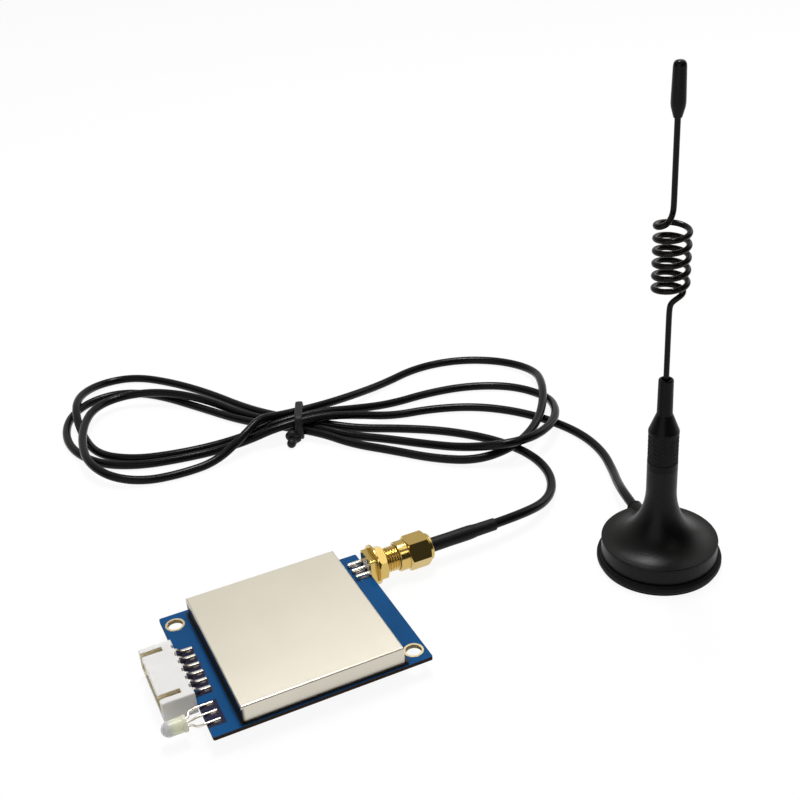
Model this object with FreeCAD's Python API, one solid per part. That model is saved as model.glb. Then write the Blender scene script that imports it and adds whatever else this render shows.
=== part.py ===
import FreeCAD, Part
import math
import os

# A radio module on a small board, with a screw-on cable and a magnet-foot whip antenna.
# Millimetres, +Z up, floor at z = 0, origin under the middle of the rigid pieces.
# The board stands in its own frame: x and y from its middle, z from its underside.

V = FreeCAD.Vector
AX, AY, AZ = V(1, 0, 0), V(0, 1, 0), V(0, 0, 1)

# General clearances
SLIP = 0.05              # between a piece and the hole it slides into

# Circuit board
BOARD_L, BOARD_W, BOARD_T = 44.0, 38.0, 0.8
BOARD_CORNER_R = 0.4
HOLE_IN_X, HOLE_IN_Y = 2.5, 3.47      # hole centre from the nearer edges
HOLE_R = 1.55
PLATING_RING_R = 2.15    # its plating is a land on each face; the film in the hole is too thin to draw
PAD_T = 0.05

# Shield can on its soldered frame
CAN_IN_LEFT, CAN_IN_RIGHT, CAN_IN_FRONT, CAN_IN_BACK = 5.9, 5.5, 0.7, 1.3   # from the board's edges
CAN_TOP = 3.94           # above the board's top face
CAN_WALL = 0.25
CAN_FOLD_R = 0.35
CORNER_SLIT = 0.16
CORNER_SLIT_STOP = 0.55  # solid strip left above each corner slit
FRAME_T = 0.2
FRAME_LIP = 0.35         # how far the frame's flange shows outside the can
FRAME_H = 2.4
FRAME_FLANGE_IN = 1.0
TAB_L, TAB_W, TAB_H = 1.1, 0.5, 0.8

# Parts under the can: centre x, centre y, length, width, height
PLACES_L, PLACES_W = 32.6, 36.0      # size of the can that these places are given for
TRANSCEIVER = (4.5, 6.5, 4.0, 4.0, 0.9)
CONTROLLER = (-6.5, -3.0, 7.0, 7.0, 1.4)
CRYSTAL = (4.5, 0.6, 3.2, 2.5, 0.8)
RF_SWITCH = (11.5, 12.2, 2.0, 2.0, 0.75)
CHIP_EDGE_R = 0.12
CAPACITOR = (1.0, 0.5, 0.5)
CAPACITOR_ROWS = ((-6.5, 4.0, 6, 1.9), (5.5, -4.5, 5, 1.9))    # middle x, y, count, pitch
INDUCTOR = (1.6, 0.8, 0.8)
INDUCTOR_PLACES = ((8.6, 9.6), (8.6, 12.0), (12.6, 8.6))
CHIP_LEAD_W, CHIP_LEAD_L, CHIP_LEAD_T = 0.3, 0.9, 0.2
CHIP_LEADS_PER_SIDE = 8

# Six-way header, mouth to -X, rear face against the board's edge
HEADER_L, HEADER_W = 6.5, 17.4
HEADER_Z0, HEADER_Z1 = -1.6, 3.2
HEADER_WALL = 0.9
HEADER_REAR_WALL = 1.4
HEADER_TOP_R = 0.35
KEYWAY_L, KEYWAY_W = 4.3, 1.3
KEYWAY_FROM_END = 2.05   # keyway's middle from the header's end
PIN_COUNT, PIN_PITCH = 6, 2.5
PIN_W = 0.64
PIN_FRONT_GAP = 1.0      # pin tip behind the mouth
PIN_RISE = 0.75          # a pin leaves the header this much above the pad
PIN_SLOPE_L = 1.3
PIN_TAIL = 3.35          # tail beyond the board's edge
PIN_NOTCH_W, PIN_NOTCH_DEEP = 1.0, 0.5

# Three-lead lamp beside the header, dome to -X
LAMP_OVERHANG = 8.0      # dome tip beyond the board's edge
LAMP_LEN = 4.8
LAMP_R = 1.5
LAMP_RIM_R, LAMP_RIM_T = 1.85, 0.8
LAMP_Y, LAMP_Z = -12.8, 0.7
LEAD_R = 0.26
LEAD_PITCH = 2.45        # on the board
LEAD_PITCH_IN_LAMP = 1.0
LEAD_INSIDE = 1.6        # lead length inside the lamp
LEAD_TAIL = 2.6          # lead beyond the board's edge

# Coaxial jack on the board's edge, axis along X
HEX_AF = 6.8
JACK_Y = 13.0
JACK_PIN_R = 0.45
JACK_PIN_TAIL = 3.3
JACK_SOCKET_R = 0.64
JACK_SOCKET_L = 2.2
POST_W, POST_H = 0.9, 0.9
POST_Y = 2.3             # post centre from the axis
FLANGE_W, FLANGE_T = 5.6, 1.5
WASHER_R, WASHER_ROOT_R, WASHER_T, WASHER_TEETH = 4.4, 4.2, 0.45, 20
NUT_T, NUT_TURN = 2.0, 0.0
THREAD_R, THREAD_ROOT_R, THREAD_PITCH = 2.75, 2.48, 0.62
JACK_LEN = 12.4          # rear of the flange to the mouth
DIELECTRIC_R = 1.65
MOUTH_R, MOUTH_DEEP = 2.0, 1.8

# Screw-on plug
PLUG_OVER_THREAD = 5.4   # how far the coupling nut is screwed over the jack
PLUG_RING_L, PLUG_RING_R = 2.2, 3.3
PLUG_HEX_L, PLUG_TURN = 4.9, 30.0
PLUG_COLLAR_L, PLUG_COLLAR_R = 0.9, 3.1
PLUG_BORE_R = THREAD_R + SLIP
PLUG_BODY_R = 2.0
PLUG_BODY_FLANGE_R, PLUG_BODY_FLANGE_T = 2.65, 0.7
PLUG_SLEEVE_R = 1.65     # bore of the body's front sleeve
PLUG_PIN_R = 0.45
PLUG_PIN_REACH = 1.5     # pin tip ahead of the dielectric's face
PLUG_STEM_R, PLUG_STEM_L = 0.9, 4.0
FERRULE_R, FERRULE_L = 1.35, 10.0
SLEEVE_R, SLEEVE_END_R, SLEEVE_L = 1.6, 1.42, 16.25

# Antenna: axis place from the board's middle, heights from the floor
ANTENNA_X, ANTENNA_Y = 80.0, -11.0
FOOT_R, FOOT_H, FOOT_EDGE_R = 13.1, 2.4, 0.5
PAD_R, PAD_H = 12.6, 0.5
BASE_R, BASE_RIM_Z = 12.2, 5.95
FLARE_R, FLARE_Z = 12.05, 6.1
NECK_R, NECK_Z, NECK_TOP = 3.15, 18.2, 23.7
BASE_WALL = 1.2
SPIGOT_H = 0.8           # the foot's step inside the shell
MAGNET_R, MAGNET_H = 8.0, 1.6
STUD_R, STUD_Z0, STUD_Z1 = 1.5, 12.0, 27.0
KNURL_TOP, KNURL_TEETH, KNURL_DEEP = 32.4, 30, 0.2
CONE_TOP, STEM_R, STEM_TIP_R, STEM_TOP = 36.2, 1.6, 1.5, 44.0
STEM_RECESS_R, STEM_RECESS_DEEP = 0.95, 1.6
CAP_TOP = 106.3
CAP_LEN, CAP_BODY_LEN = 10.1, 7.8    # whole cap, and the part above its flare
CAP_R0, CAP_R, CAP_TIP_R = 0.78, 1.38, 1.22
WIRE_R, WIRE_Z0, WIRE_BELOW_TIP = 0.58, 30.0, 2.5
COIL_R, COIL_PITCH, COIL_TURNS = 3.15, 2.52, 5.5
COIL_SHARE = 0.62        # the coil's top, as a share of the free wire's height
COIL_LEAD = 0.17         # turns taken to reach the coil's radius
COIL_BEND = 1.6          # drop of the wire along that reach
COIL_START = 180.0
COIL_STEPS = 10          # runs in one turn
GLAND_TURN, GLAND_Z = 78.0, 5.0
GLAND_BOSS_R, GLAND_OUT = 1.75, 12.95
GROMMET_R, GROMMET_RIM_R, GROMMET_RIM_T = 1.42, 1.75, 0.35
GROMMET_IN = 10.95
FEED_R = 0.2
FEED_OVER_MAGNET, FEED_AT_AXIS = 1.1, 2.6      # above the gland's height
FEED_DIP, FEED_DIP_IN = 0.5, 1.6               # just inside the cable's end

# Antenna cable, 2.2 mm, from the ferrule through the tie to the antenna's gland
CABLE_R = 1.1
LYING = CABLE_R
ROUTE_JACK_X = 15.5      # the cable's start that the route is drawn for
ROUTE_ANTENNA = (48.45, -8.45)     # and the antenna's axis
JACK_POINT_COUNT, ANTENNA_POINT_COUNT = 2, 3     # route points that follow each of them
LOWER, UPPER = 2.3, 4.65
CABLE_ROUTE = (
    (15.5, 15.55, 4.4), (28.0, 15.55, 4.4), (39.0, 20.5, 2.1), (45.8, 30.5, LYING),
    (46.5, 42.0, LYING), (41.5, 53.5, LYING), (33.0, 63.5, LYING), (23.6, 70.6, LYING),
    (14.2, 76.4, LYING), (6.16, 82.3, LOWER), (-1.84, 91.2, LOWER), (-7.9, 103.2, LYING),
    (-14.0, 117.0, LYING), (-21.5, 129.5, LYING), (-30.0, 139.0, LYING), (-39.6, 140.6, LYING),
    (-47.2, 132.8, 3.1), (-50.6, 123.2, 3.7), (-51.2, 112.4, LYING), (-49.8, 100.0, LYING),
    (-42.0, 92.6, LYING), (-32.0, 89.4, LYING), (-21.5, 88.0, LYING), (-12.6, 86.4, 2.4),
    (-4.8, 84.7, UPPER), (7.2, 84.1, UPPER), (16.5, 83.2, 3.1), (27.0, 83.8, LYING),
    (39.0, 84.0, LYING), (50.5, 81.5, LYING), (60.5, 75.0, LYING), (65.4, 65.0, LYING),
    (61.6, 54.2, 3.3), (55.4, 46.4, 4.6), (46.4, 41.2, 5.9), (37.4, 43.0, 5.6),
    (31.6, 51.4, 2.6), (25.8, 60.0, LYING), (18.6, 67.4, LYING), (11.2, 73.9, LYING),
    (5.2, 79.9, LOWER), (-2.8, 88.9, LOWER), (-9.8, 100.0, LYING), (-15.6, 109.4, 2.5),
    (-22.4, 116.2, 3.75), (-29.8, 122.1, 3.8), (-37.9, 125.3, 3.1), (-45.4, 122.2, 3.3),
    (-50.0, 113.4, 3.85), (-52.7, 103.2, 3.8), (-53.4, 93.0, 3.7), (-49.8, 84.6, 2.6),
    (-42.4, 80.6, LYING), (-33.0, 79.0, LYING), (-23.5, 80.0, LYING), (-15.0, 82.4, 4.8),
    (-9.0, 86.0, 6.6), (-2.8, 87.3, 5.0), (8.2, 87.2, UPPER), (18.8, 90.7, 3.0),
    (30.0, 95.5, LYING), (42.5, 99.5, LYING), (55.0, 97.5, LYING), (65.4, 90.0, LYING),
    (69.6, 78.5, 1.9), (64.9, 66.5, 3.9), (58.6, 56.4, 3.5), (51.2, 48.6, 3.4),
    (42.6, 43.4, 3.5), (33.2, 44.8, 1.8), (25.0, 52.0, LYING), (17.4, 61.4, LYING),
    (9.8, 70.0, LYING), (4.24, 77.6, LOWER), (-3.76, 86.5, LOWER), (-11.4, 97.4, LYING),
    (-18.2, 109.2, LYING), (-27.4, 124.6, LYING), (-36.0, 131.6, LYING), (-45.4, 130.9, LYING),
    (-52.2, 124.6, LYING), (-55.4, 114.6, LYING), (-54.8, 104.2, LYING), (-50.0, 94.5, LYING),
    (-41.5, 88.8, LYING), (-31.5, 86.4, LYING), (-21.9, 85.2, LYING), (-13.4, 83.4, 2.6),
    (-5.76, 82.34, UPPER), (6.24, 81.74, UPPER), (14.8, 79.9, 3.4), (24.7, 77.6, LYING),
    (35.5, 75.5, LYING), (46.0, 70.5, LYING), (54.0, 62.5, LYING), (59.4, 53.0, LYING),
    (62.3, 43.0, LYING), (62.0, 33.3, LYING), (59.0, 24.6, 1.4), (55.2, 16.8, 3.2),
    (52.32, 9.74, 5.0), (50.78, 2.5, 5.0))

# Tie round the bundle: across it u runs sideways, the band's width follows the bundle
TIE_X, TIE_Y, TIE_TURN = 1.2, 84.4, -22.0
TIE_U0, TIE_U1, TIE_Z0, TIE_Z1 = -4.5, 4.8, 1.12, 6.05
TIE_BORE_R = 1.4
TIE_T, TIE_W, TIE_EDGE_R = 1.1, 2.0, 0.35
TIE_STUB_R = 1.15
TIE_STUB = ((-0.4, -5.0, 1.3), (-1.5, -5.9, 1.2), (-2.2, -7.6, 1.2))    # along, across, up

# Places worked out from the sizes above
PIN_Z = BOARD_T + PAD_T + PIN_W / 2
EDGE_L, EDGE_R = -BOARD_L / 2, BOARD_L / 2
CAN_X0, CAN_X1 = EDGE_L + CAN_IN_LEFT, EDGE_R - CAN_IN_RIGHT
CAN_Y0, CAN_Y1 = -BOARD_W / 2 + CAN_IN_FRONT, BOARD_W / 2 - CAN_IN_BACK
LAMP_TIP = BOARD_L / 2 + LAMP_OVERHANG
PLUG_X = JACK_LEN - PLUG_OVER_THREAD
CAP_Z0, CAP_FLARE_Z = CAP_TOP - CAP_LEN, CAP_TOP - CAP_BODY_LEN
WIRE_Z1 = CAP_TOP - WIRE_BELOW_TIP
COIL_Z = STEM_TOP + COIL_SHARE * (CAP_Z0 - STEM_TOP)
TOP = BOARD_T + PAD_T
JACK_Z = TOP + JACK_PIN_R
HEX_VERTEX_R = HEX_AF / 2 / math.cos(math.radians(30))
BOARD_X = -(ANTENNA_X + FOOT_R - LAMP_TIP) / 2
BOARD_Y = -(BOARD_W / 2 + ANTENNA_Y - FOOT_R) / 2
BOARD_Z = WASHER_R - JACK_Z              # the jack's washer stands on the floor
BOARD_AT = V(BOARD_X, BOARD_Y, BOARD_Z)
ANTENNA_AT = V(BOARD_X + ANTENNA_X, BOARD_Y + ANTENNA_Y, 0)


def box(x0, x1, y0, y1, z0, z1):
    return Part.makeBox(x1 - x0, y1 - y0, z1 - z0, V(x0, y0, z0))


def block(size, x, y, z):
    """A block standing on z, centred on x and y."""
    length, width, height = size
    return Part.makeBox(length, width, height, V(x - length / 2, y - width / 2, z))


def rod(radius, start, end):
    return Part.makeCylinder(radius, (end - start).Length, start, end - start)


def turned(profile, axis):
    """Revolve (along, radius) points round the X or the Z axis."""
    across = AZ if axis == AX else AX
    points = [axis * along + across * radius for along, radius in profile]
    face = Part.Face(Part.makePolygon(points + points[:1]))
    return face.revolve(V(0, 0, 0), axis, 360)


def prism(points, along):
    return Part.Face(Part.makePolygon(points + points[:1])).extrude(along)


def star(outer, inner, teeth, start, along):
    """A toothed disc: points swing between two radii round the direction along."""
    first = AX if along.normalize() == AZ else AZ
    second = along.cross(first)
    points = []
    for step in range(2 * teeth):
        turn = math.pi * step / teeth
        radius = outer if step % 2 == 0 else inner
        points.append(start + first * radius * math.cos(turn) + second * radius * math.sin(turn))
    return points


def hexagon_bar(x0, x1, first_corner):
    """A hexagon bar along X with chamfered ends; first_corner is in degrees from straight down."""
    corners = []
    for step in range(6):
        turn = math.radians(first_corner + 60 * step)
        corners.append(V(x0, HEX_VERTEX_R * math.sin(turn), -HEX_VERTEX_R * math.cos(turn)))
    bar = prism(corners, AX * (x1 - x0))
    chamfer = (HEX_VERTEX_R - HEX_AF / 2) * math.tan(math.radians(30))
    flat_r = HEX_AF / 2
    skin = turned([(x0, 0), (x0, flat_r), (x0 + chamfer, HEX_VERTEX_R),
                   (x1 - chamfer, HEX_VERTEX_R), (x1, flat_r), (x1, 0)], AX)
    return bar.common(skin)


def rounded_path(points):
    """Straight runs joined by tangent arcs: the wire, its length and its smallest radius."""
    edges, length, least = [], 0.0, float("inf")
    last = points[0]
    for before, corner, after in zip(points, points[1:], points[2:]):
        run_in, run_out = corner - before, after - corner
        turn = run_in.getAngle(run_out)
        cut = 0.45 * min(run_in.Length, run_out.Length)
        radius = cut / math.tan(turn / 2)
        least = min(least, radius)
        way_in, way_out = run_in.normalize(), run_out.normalize()
        begin, finish = corner - way_in * cut, corner + way_out * cut
        inward = (way_out - way_in).normalize()
        middle = corner + inward * (radius / math.cos(turn / 2) - radius)
        edges.append(Part.LineSegment(last, begin).toShape())
        edges.append(Part.Arc(begin, middle, finish).toShape())
        length += (begin - last).Length + radius * turn
        last = finish
    edges.append(Part.LineSegment(last, points[-1]).toShape())
    length += (points[-1] - last).Length
    return Part.Wire(edges), length, least


def swept(path, radius, start, direction):
    ring = Part.Wire([Part.Circle(start, direction, radius).toShape()])
    return path.makePipeShell([ring], True, False)


def tube(points, radius):
    path, length, least = rounded_path(points)
    return swept(path, radius, points[0], points[1] - points[0]), length, least


def save(name, solids, place=V(0, 0, 0)):
    shape = solids[0] if len(solids) == 1 else Part.makeCompound(solids)
    shape = shape.copy()
    shape.translate(place)
    shape.exportStep("parts/%s.step" % name)


def hole_places():
    x, y = BOARD_L / 2 - HOLE_IN_X, BOARD_W / 2 - HOLE_IN_Y
    return (V(-x, y, 0), V(x, -y, 0))


def circuit_board():
    board = box(EDGE_L, EDGE_R, -BOARD_W / 2, BOARD_W / 2, 0, BOARD_T)
    upright = [edge for edge in board.Edges if edge.tangentAt(edge.FirstParameter).z ** 2 > 0.9]
    board = board.makeFillet(BOARD_CORNER_R, upright)
    for place in hole_places():
        board = board.cut(Part.makeCylinder(HOLE_R, BOARD_T, place))
    return [board]


def hole_plating():
    lands = []
    for place in hole_places():
        for z in (-PAD_T, BOARD_T):
            land = Part.makeCylinder(PLATING_RING_R, PAD_T, place + AZ * z)
            lands.append(land.cut(Part.makeCylinder(HOLE_R, PAD_T, place + AZ * z)))
    return lands


def pin_rows():
    return [PIN_PITCH * (number - (PIN_COUNT - 1) / 2) for number in range(PIN_COUNT)]


def lead_rows():
    return [LAMP_Y + LEAD_PITCH * side for side in (1, 0, -1)]


def post_places():
    return [JACK_Y - POST_Y, JACK_Y + POST_Y]


def solder_pads():
    pads = []
    for y in pin_rows():
        pads.append(block((PIN_TAIL - 0.7, PIN_W + 0.7, PAD_T), EDGE_L + PIN_TAIL / 2 + 0.75, y, BOARD_T))
    for y in lead_rows():
        pads.append(block((LEAD_TAIL - 0.4, 4 * LEAD_R, PAD_T), EDGE_L + LEAD_TAIL / 2 + 0.4, y, BOARD_T))
    for y in post_places():
        for z in (BOARD_T, -PAD_T):
            pads.append(block((JACK_PIN_TAIL, POST_W + 0.5, PAD_T), EDGE_R - JACK_PIN_TAIL / 2, y, z))
    pads.append(block((JACK_PIN_TAIL, 2 * JACK_PIN_R + 0.5, PAD_T),
                      EDGE_R - JACK_PIN_TAIL / 2, JACK_Y, BOARD_T))
    return pads


def shield_frame():
    inner = CAN_WALL + SLIP
    flange = box(CAN_X0 - FRAME_LIP, CAN_X1 + FRAME_LIP, CAN_Y0 - FRAME_LIP, CAN_Y1 + FRAME_LIP,
                 BOARD_T, BOARD_T + FRAME_T)
    wall = box(CAN_X0 + inner, CAN_X1 - inner, CAN_Y0 + inner, CAN_Y1 - inner,
               BOARD_T, BOARD_T + FRAME_H)
    hollow = inner + FRAME_T
    bore = box(CAN_X0 + hollow, CAN_X1 - hollow, CAN_Y0 + hollow, CAN_Y1 - hollow,
               BOARD_T - 1, BOARD_T + FRAME_H + 1)
    tab = box(CAN_X1 + SLIP, CAN_X1 + SLIP + TAB_W, CAN_Y0 - FRAME_LIP, CAN_Y0 + TAB_L,
              BOARD_T, BOARD_T + TAB_H)
    return [flange.fuse(wall).cut(bore).fuse(tab).removeSplitter()]


def shield_can():
    foot, top = BOARD_T + FRAME_T, BOARD_T + CAN_TOP
    can = box(CAN_X0, CAN_X1, CAN_Y0, CAN_Y1, foot, top)
    folds = [edge for edge in can.Edges
             if abs(edge.BoundBox.ZMin - top) < 0.01 and abs(edge.BoundBox.ZMax - top) < 0.01]
    can = can.makeFillet(CAN_FOLD_R, folds)
    can = can.cut(box(CAN_X0 + CAN_WALL, CAN_X1 - CAN_WALL, CAN_Y0 + CAN_WALL, CAN_Y1 - CAN_WALL,
                      foot - 1, top - CAN_WALL))
    for x in (CAN_X0, CAN_X1):
        for y in (CAN_Y0, CAN_Y1):
            slit = block((2 * CORNER_SLIT, 2 * CORNER_SLIT, CAN_TOP - FRAME_T - CORNER_SLIT_STOP), x, y, foot)
            can = can.cut(slit)
    return [can]


def under_can(x, y):
    return x * (CAN_X1 - CAN_X0) / PLACES_L, y * (CAN_Y1 - CAN_Y0) / PLACES_W


def chip(size):
    x, y = under_can(*size[:2])
    length, width, height = size[2:]
    body = block((length, width, height), x, y, BOARD_T)
    lid = [edge for edge in body.Edges if abs(edge.BoundBox.ZMin - BOARD_T - height) < 0.01]
    return body.makeChamfer(CHIP_EDGE_R, lid)


def controller_leads():
    """Gull-wing leads on all four sides of the square controller."""
    x, y = under_can(*CONTROLLER[:2])
    length = CONTROLLER[2]
    leads = []
    pitch = (length - 1) / CHIP_LEADS_PER_SIDE
    for number in range(CHIP_LEADS_PER_SIDE):
        along = pitch * (number - (CHIP_LEADS_PER_SIDE - 1) / 2)
        for side in (-1, 1):
            reach = side * (length + CHIP_LEAD_L) / 2
            leads.append(block((CHIP_LEAD_L, CHIP_LEAD_W, CHIP_LEAD_T), x + reach, y + along, BOARD_T))
            leads.append(block((CHIP_LEAD_W, CHIP_LEAD_L, CHIP_LEAD_T), x + along, y + reach, BOARD_T))
    return leads


def capacitors():
    pieces = []
    for row_x, row_y, count, pitch in CAPACITOR_ROWS:
        x, y = under_can(row_x, row_y)
        for number in range(count):
            pieces.append(block(CAPACITOR, x + pitch * (number - (count - 1) / 2), y, BOARD_T))
    return pieces


def inductors():
    return [block(INDUCTOR, *under_can(x, y), BOARD_T) for x, y in INDUCTOR_PLACES]


def header_housing():
    front, rear, half = EDGE_L - HEADER_L, EDGE_L, HEADER_W / 2
    body = box(front, rear, -half, half, HEADER_Z0, HEADER_Z1)
    upper = [edge for edge in body.Edges if edge.BoundBox.ZMin > HEADER_Z1 - 0.01]
    body = body.makeFillet(HEADER_TOP_R, upper)
    body = body.cut(box(front - 1, rear - HEADER_REAR_WALL, -half + HEADER_WALL, half - HEADER_WALL,
                        HEADER_Z0 + HEADER_WALL, HEADER_Z1 - HEADER_WALL))
    for side in (-1, 1):
        y = side * (half - KEYWAY_FROM_END)
        body = body.cut(box(front - 1, front + KEYWAY_L, y - KEYWAY_W / 2, y + KEYWAY_W / 2,
                            HEADER_Z1 - HEADER_WALL - 1, HEADER_Z1 + 1))
    low = PIN_Z + PIN_RISE - PIN_W / 2
    for y in pin_rows():
        hole = PIN_W / 2
        body = body.cut(box(front + 1, rear + 1, y - hole, y + hole, low, low + PIN_W))
        body = body.cut(box(rear - PIN_NOTCH_DEEP, rear + 1, y - PIN_NOTCH_W / 2, y + PIN_NOTCH_W / 2,
                            low, HEADER_Z1 + 1))
    return [body]


def header_pins():
    """Square pins, straight in the header, stepping down to lie flat on their pads."""
    tip, rear, tail = EDGE_L - HEADER_L + PIN_FRONT_GAP, EDGE_L, EDGE_L + PIN_TAIL
    low = TOP
    high = low + PIN_RISE
    bend = rear + PIN_SLOPE_L
    outline = [(tip, high), (rear, high), (bend, low), (tail, low), (tail, low + PIN_W),
               (bend, low + PIN_W), (rear, high + PIN_W), (tip, high + PIN_W)]
    pins = []
    for y in pin_rows():
        pins.append(prism([V(x, y - PIN_W / 2, z) for x, z in outline], AY * PIN_W))
    return pins


def lamp_lead_route(side):
    """One lead from inside the lamp to its pad; side is 1, 0 or -1."""
    rear = -LAMP_TIP + LAMP_LEN
    y_lamp = LAMP_Y + LEAD_PITCH_IN_LAMP * side
    y_pad = LAMP_Y + LEAD_PITCH * side
    z_pad = TOP + LEAD_R
    spread = 0.9 if side > 0 else 1.6
    if side == 0:
        return [V(rear - LEAD_INSIDE, y_lamp, LAMP_Z), V(rear + 0.9, y_lamp, LAMP_Z),
                V(EDGE_L - 0.6, y_pad, z_pad), V(EDGE_L + LEAD_TAIL, y_pad, z_pad)]
    return [V(rear - LEAD_INSIDE, y_lamp, LAMP_Z), V(rear + 0.5, y_lamp, LAMP_Z),
            V(rear + spread, y_pad - 0.1 * side, (LAMP_Z + z_pad) / 2),
            V(EDGE_L - 0.6, y_pad, z_pad), V(EDGE_L + LEAD_TAIL, y_pad, z_pad)]


def lamp_leads():
    return [tube(lamp_lead_route(side), LEAD_R)[0] for side in (1, 0, -1)]


def lamp_lens():
    rear = -LAMP_TIP + LAMP_LEN
    dome = Part.makeSphere(LAMP_R, V(-LAMP_TIP + LAMP_R, LAMP_Y, LAMP_Z))
    axis = V(0, LAMP_Y, LAMP_Z)
    lens = dome.fuse(rod(LAMP_R, axis + AX * (-LAMP_TIP + LAMP_R), axis + AX * rear))
    lens = lens.fuse(rod(LAMP_RIM_R, axis + AX * (rear - LAMP_RIM_T), axis + AX * rear)).removeSplitter()
    for side in (1, 0, -1):
        y = LAMP_Y + LEAD_PITCH_IN_LAMP * side
        lens = lens.cut(rod(LEAD_R + SLIP / 2, V(rear - LEAD_INSIDE, y, LAMP_Z), V(rear, y, LAMP_Z)))
    return [lens]


def lump(length, width, height, x, y, z):
    """A solder fillet: wide on its pad, narrow on top; upside down when height is negative."""
    foot = [V(x + sx * length / 2, y + sy * width / 2, z)
            for sx, sy in ((-1, -1), (1, -1), (1, 1), (-1, 1))]
    head = [V(x + (p.x - x) * 0.55, y + (p.y - y) * 0.45, z + height) for p in foot]
    sides = [[foot[n - 1], foot[n], head[n], head[n - 1]] for n in range(4)]
    shell = Part.Shell([Part.Face(Part.makePolygon(ring + ring[:1])) for ring in [foot, head] + sides])
    shell.sewShape()
    solid = Part.Solid(shell)
    if solid.Volume < 0:
        solid.reverse()
    return solid


def solder_joints(pins, leads, body, contact):
    """Fillets beside the tails, cut to the metal that they hold."""
    lumps = []
    for y, pin in zip(pin_rows(), pins):
        x = EDGE_L + PIN_TAIL - 0.55
        lumps.append(lump(1.7, PIN_W + 0.6, 0.55, x, y, TOP).cut(pin))
    for y, lead in zip(lead_rows(), leads):
        lumps.append(lump(1.7, 0.95, 0.45, EDGE_L + LEAD_TAIL - 0.5, y, TOP).cut(lead))
    for y in post_places():
        x = EDGE_R - JACK_PIN_TAIL / 2
        for z, height in ((TOP, 0.6), (-PAD_T, -0.6)):
            lumps.append(lump(JACK_PIN_TAIL - 0.4, POST_W + 0.44, height, x, y, z).cut(body))
    x = EDGE_R - JACK_PIN_TAIL / 2
    lumps.append(lump(JACK_PIN_TAIL - 0.6, 2 * JACK_PIN_R + 0.44, 0.5, x, JACK_Y, TOP).cut(contact))
    return [solid for piece in lumps for solid in piece.Solids]


def on_jack_axis(shape):
    shape.translate(V(EDGE_R, JACK_Y, JACK_Z))
    return shape


def thread_profile(x0, x1):
    """Ridges of a thread drawn as rings, from x0 to x1."""
    points = []
    count = int((x1 - x0) / THREAD_PITCH)
    for number in range(count):
        start = x0 + number * THREAD_PITCH
        points += [(start, THREAD_ROOT_R), (start + THREAD_PITCH / 2, THREAD_R)]
    return points + [(x0 + count * THREAD_PITCH, THREAD_ROOT_R)]


def jack_body():
    """Flange with four board posts and a threaded barrel, in one piece."""
    plain_end = FLANGE_T + WASHER_T + NUT_T
    barrel = turned([(0, 0), (0, THREAD_R - 0.1), (plain_end, THREAD_R - 0.1)]
                    + thread_profile(plain_end, JACK_LEN - 0.3)
                    + [(JACK_LEN, THREAD_ROOT_R), (JACK_LEN, 0)], AX)
    half = FLANGE_W / 2
    flange = box(0, FLANGE_T, -half, half, -half, half)
    square = [edge for edge in flange.Edges if edge.BoundBox.XLength > FLANGE_T - 0.01]
    body = barrel.fuse(flange.makeFillet(0.5, square))
    for side in (-1, 1):
        y0, y1 = side * POST_Y - POST_W / 2, side * POST_Y + POST_W / 2
        top, under = TOP - JACK_Z, -PAD_T - JACK_Z
        body = body.fuse(box(-JACK_PIN_TAIL, 0.5, y0, y1, top, top + POST_H))
        body = body.fuse(box(-JACK_PIN_TAIL, 0.5, y0, y1, under - POST_H, under))
    body = body.removeSplitter()
    body = body.cut(rod(DIELECTRIC_R + SLIP, V(-1, 0, 0), V(JACK_LEN - MOUTH_DEEP, 0, 0)))
    body = body.cut(rod(MOUTH_R, V(JACK_LEN - MOUTH_DEEP, 0, 0), V(JACK_LEN + 1, 0, 0)))
    return [on_jack_axis(body)]


def jack_insulator():
    end = JACK_LEN - MOUTH_DEEP
    return [on_jack_axis(turned([(0, JACK_SOCKET_R), (0, DIELECTRIC_R), (end, DIELECTRIC_R),
                                 (end, JACK_SOCKET_R)], AX))]


def jack_pin():
    """Centre contact: a thin tail on the board, a socket in the dielectric."""
    end = JACK_LEN - MOUTH_DEEP
    hole = PLUG_PIN_R + SLIP
    return [on_jack_axis(turned([(-JACK_PIN_TAIL, 0), (-JACK_PIN_TAIL, JACK_PIN_R), (0, JACK_PIN_R),
                                 (0, JACK_SOCKET_R), (end, JACK_SOCKET_R), (end, hole),
                                 (end - JACK_SOCKET_L, hole), (end - JACK_SOCKET_L, 0)], AX))]


def jack_washer():
    outline = star(WASHER_R, WASHER_ROOT_R, WASHER_TEETH, V(FLANGE_T, 0, 0), V(1, 0, 0))
    washer = prism(outline, AX * WASHER_T)
    return [on_jack_axis(washer.cut(rod(THREAD_R, V(0, 0, 0), V(JACK_LEN, 0, 0))))]


def jack_nut():
    start = FLANGE_T + WASHER_T
    nut = hexagon_bar(start, start + NUT_T, NUT_TURN)
    return [on_jack_axis(nut.cut(rod(THREAD_R, V(0, 0, 0), V(JACK_LEN, 0, 0))))]


def plug_ends():
    hex_start = PLUG_X + PLUG_RING_L
    hex_end = hex_start + PLUG_HEX_L
    return hex_start, hex_end, hex_end + PLUG_COLLAR_L


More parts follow.
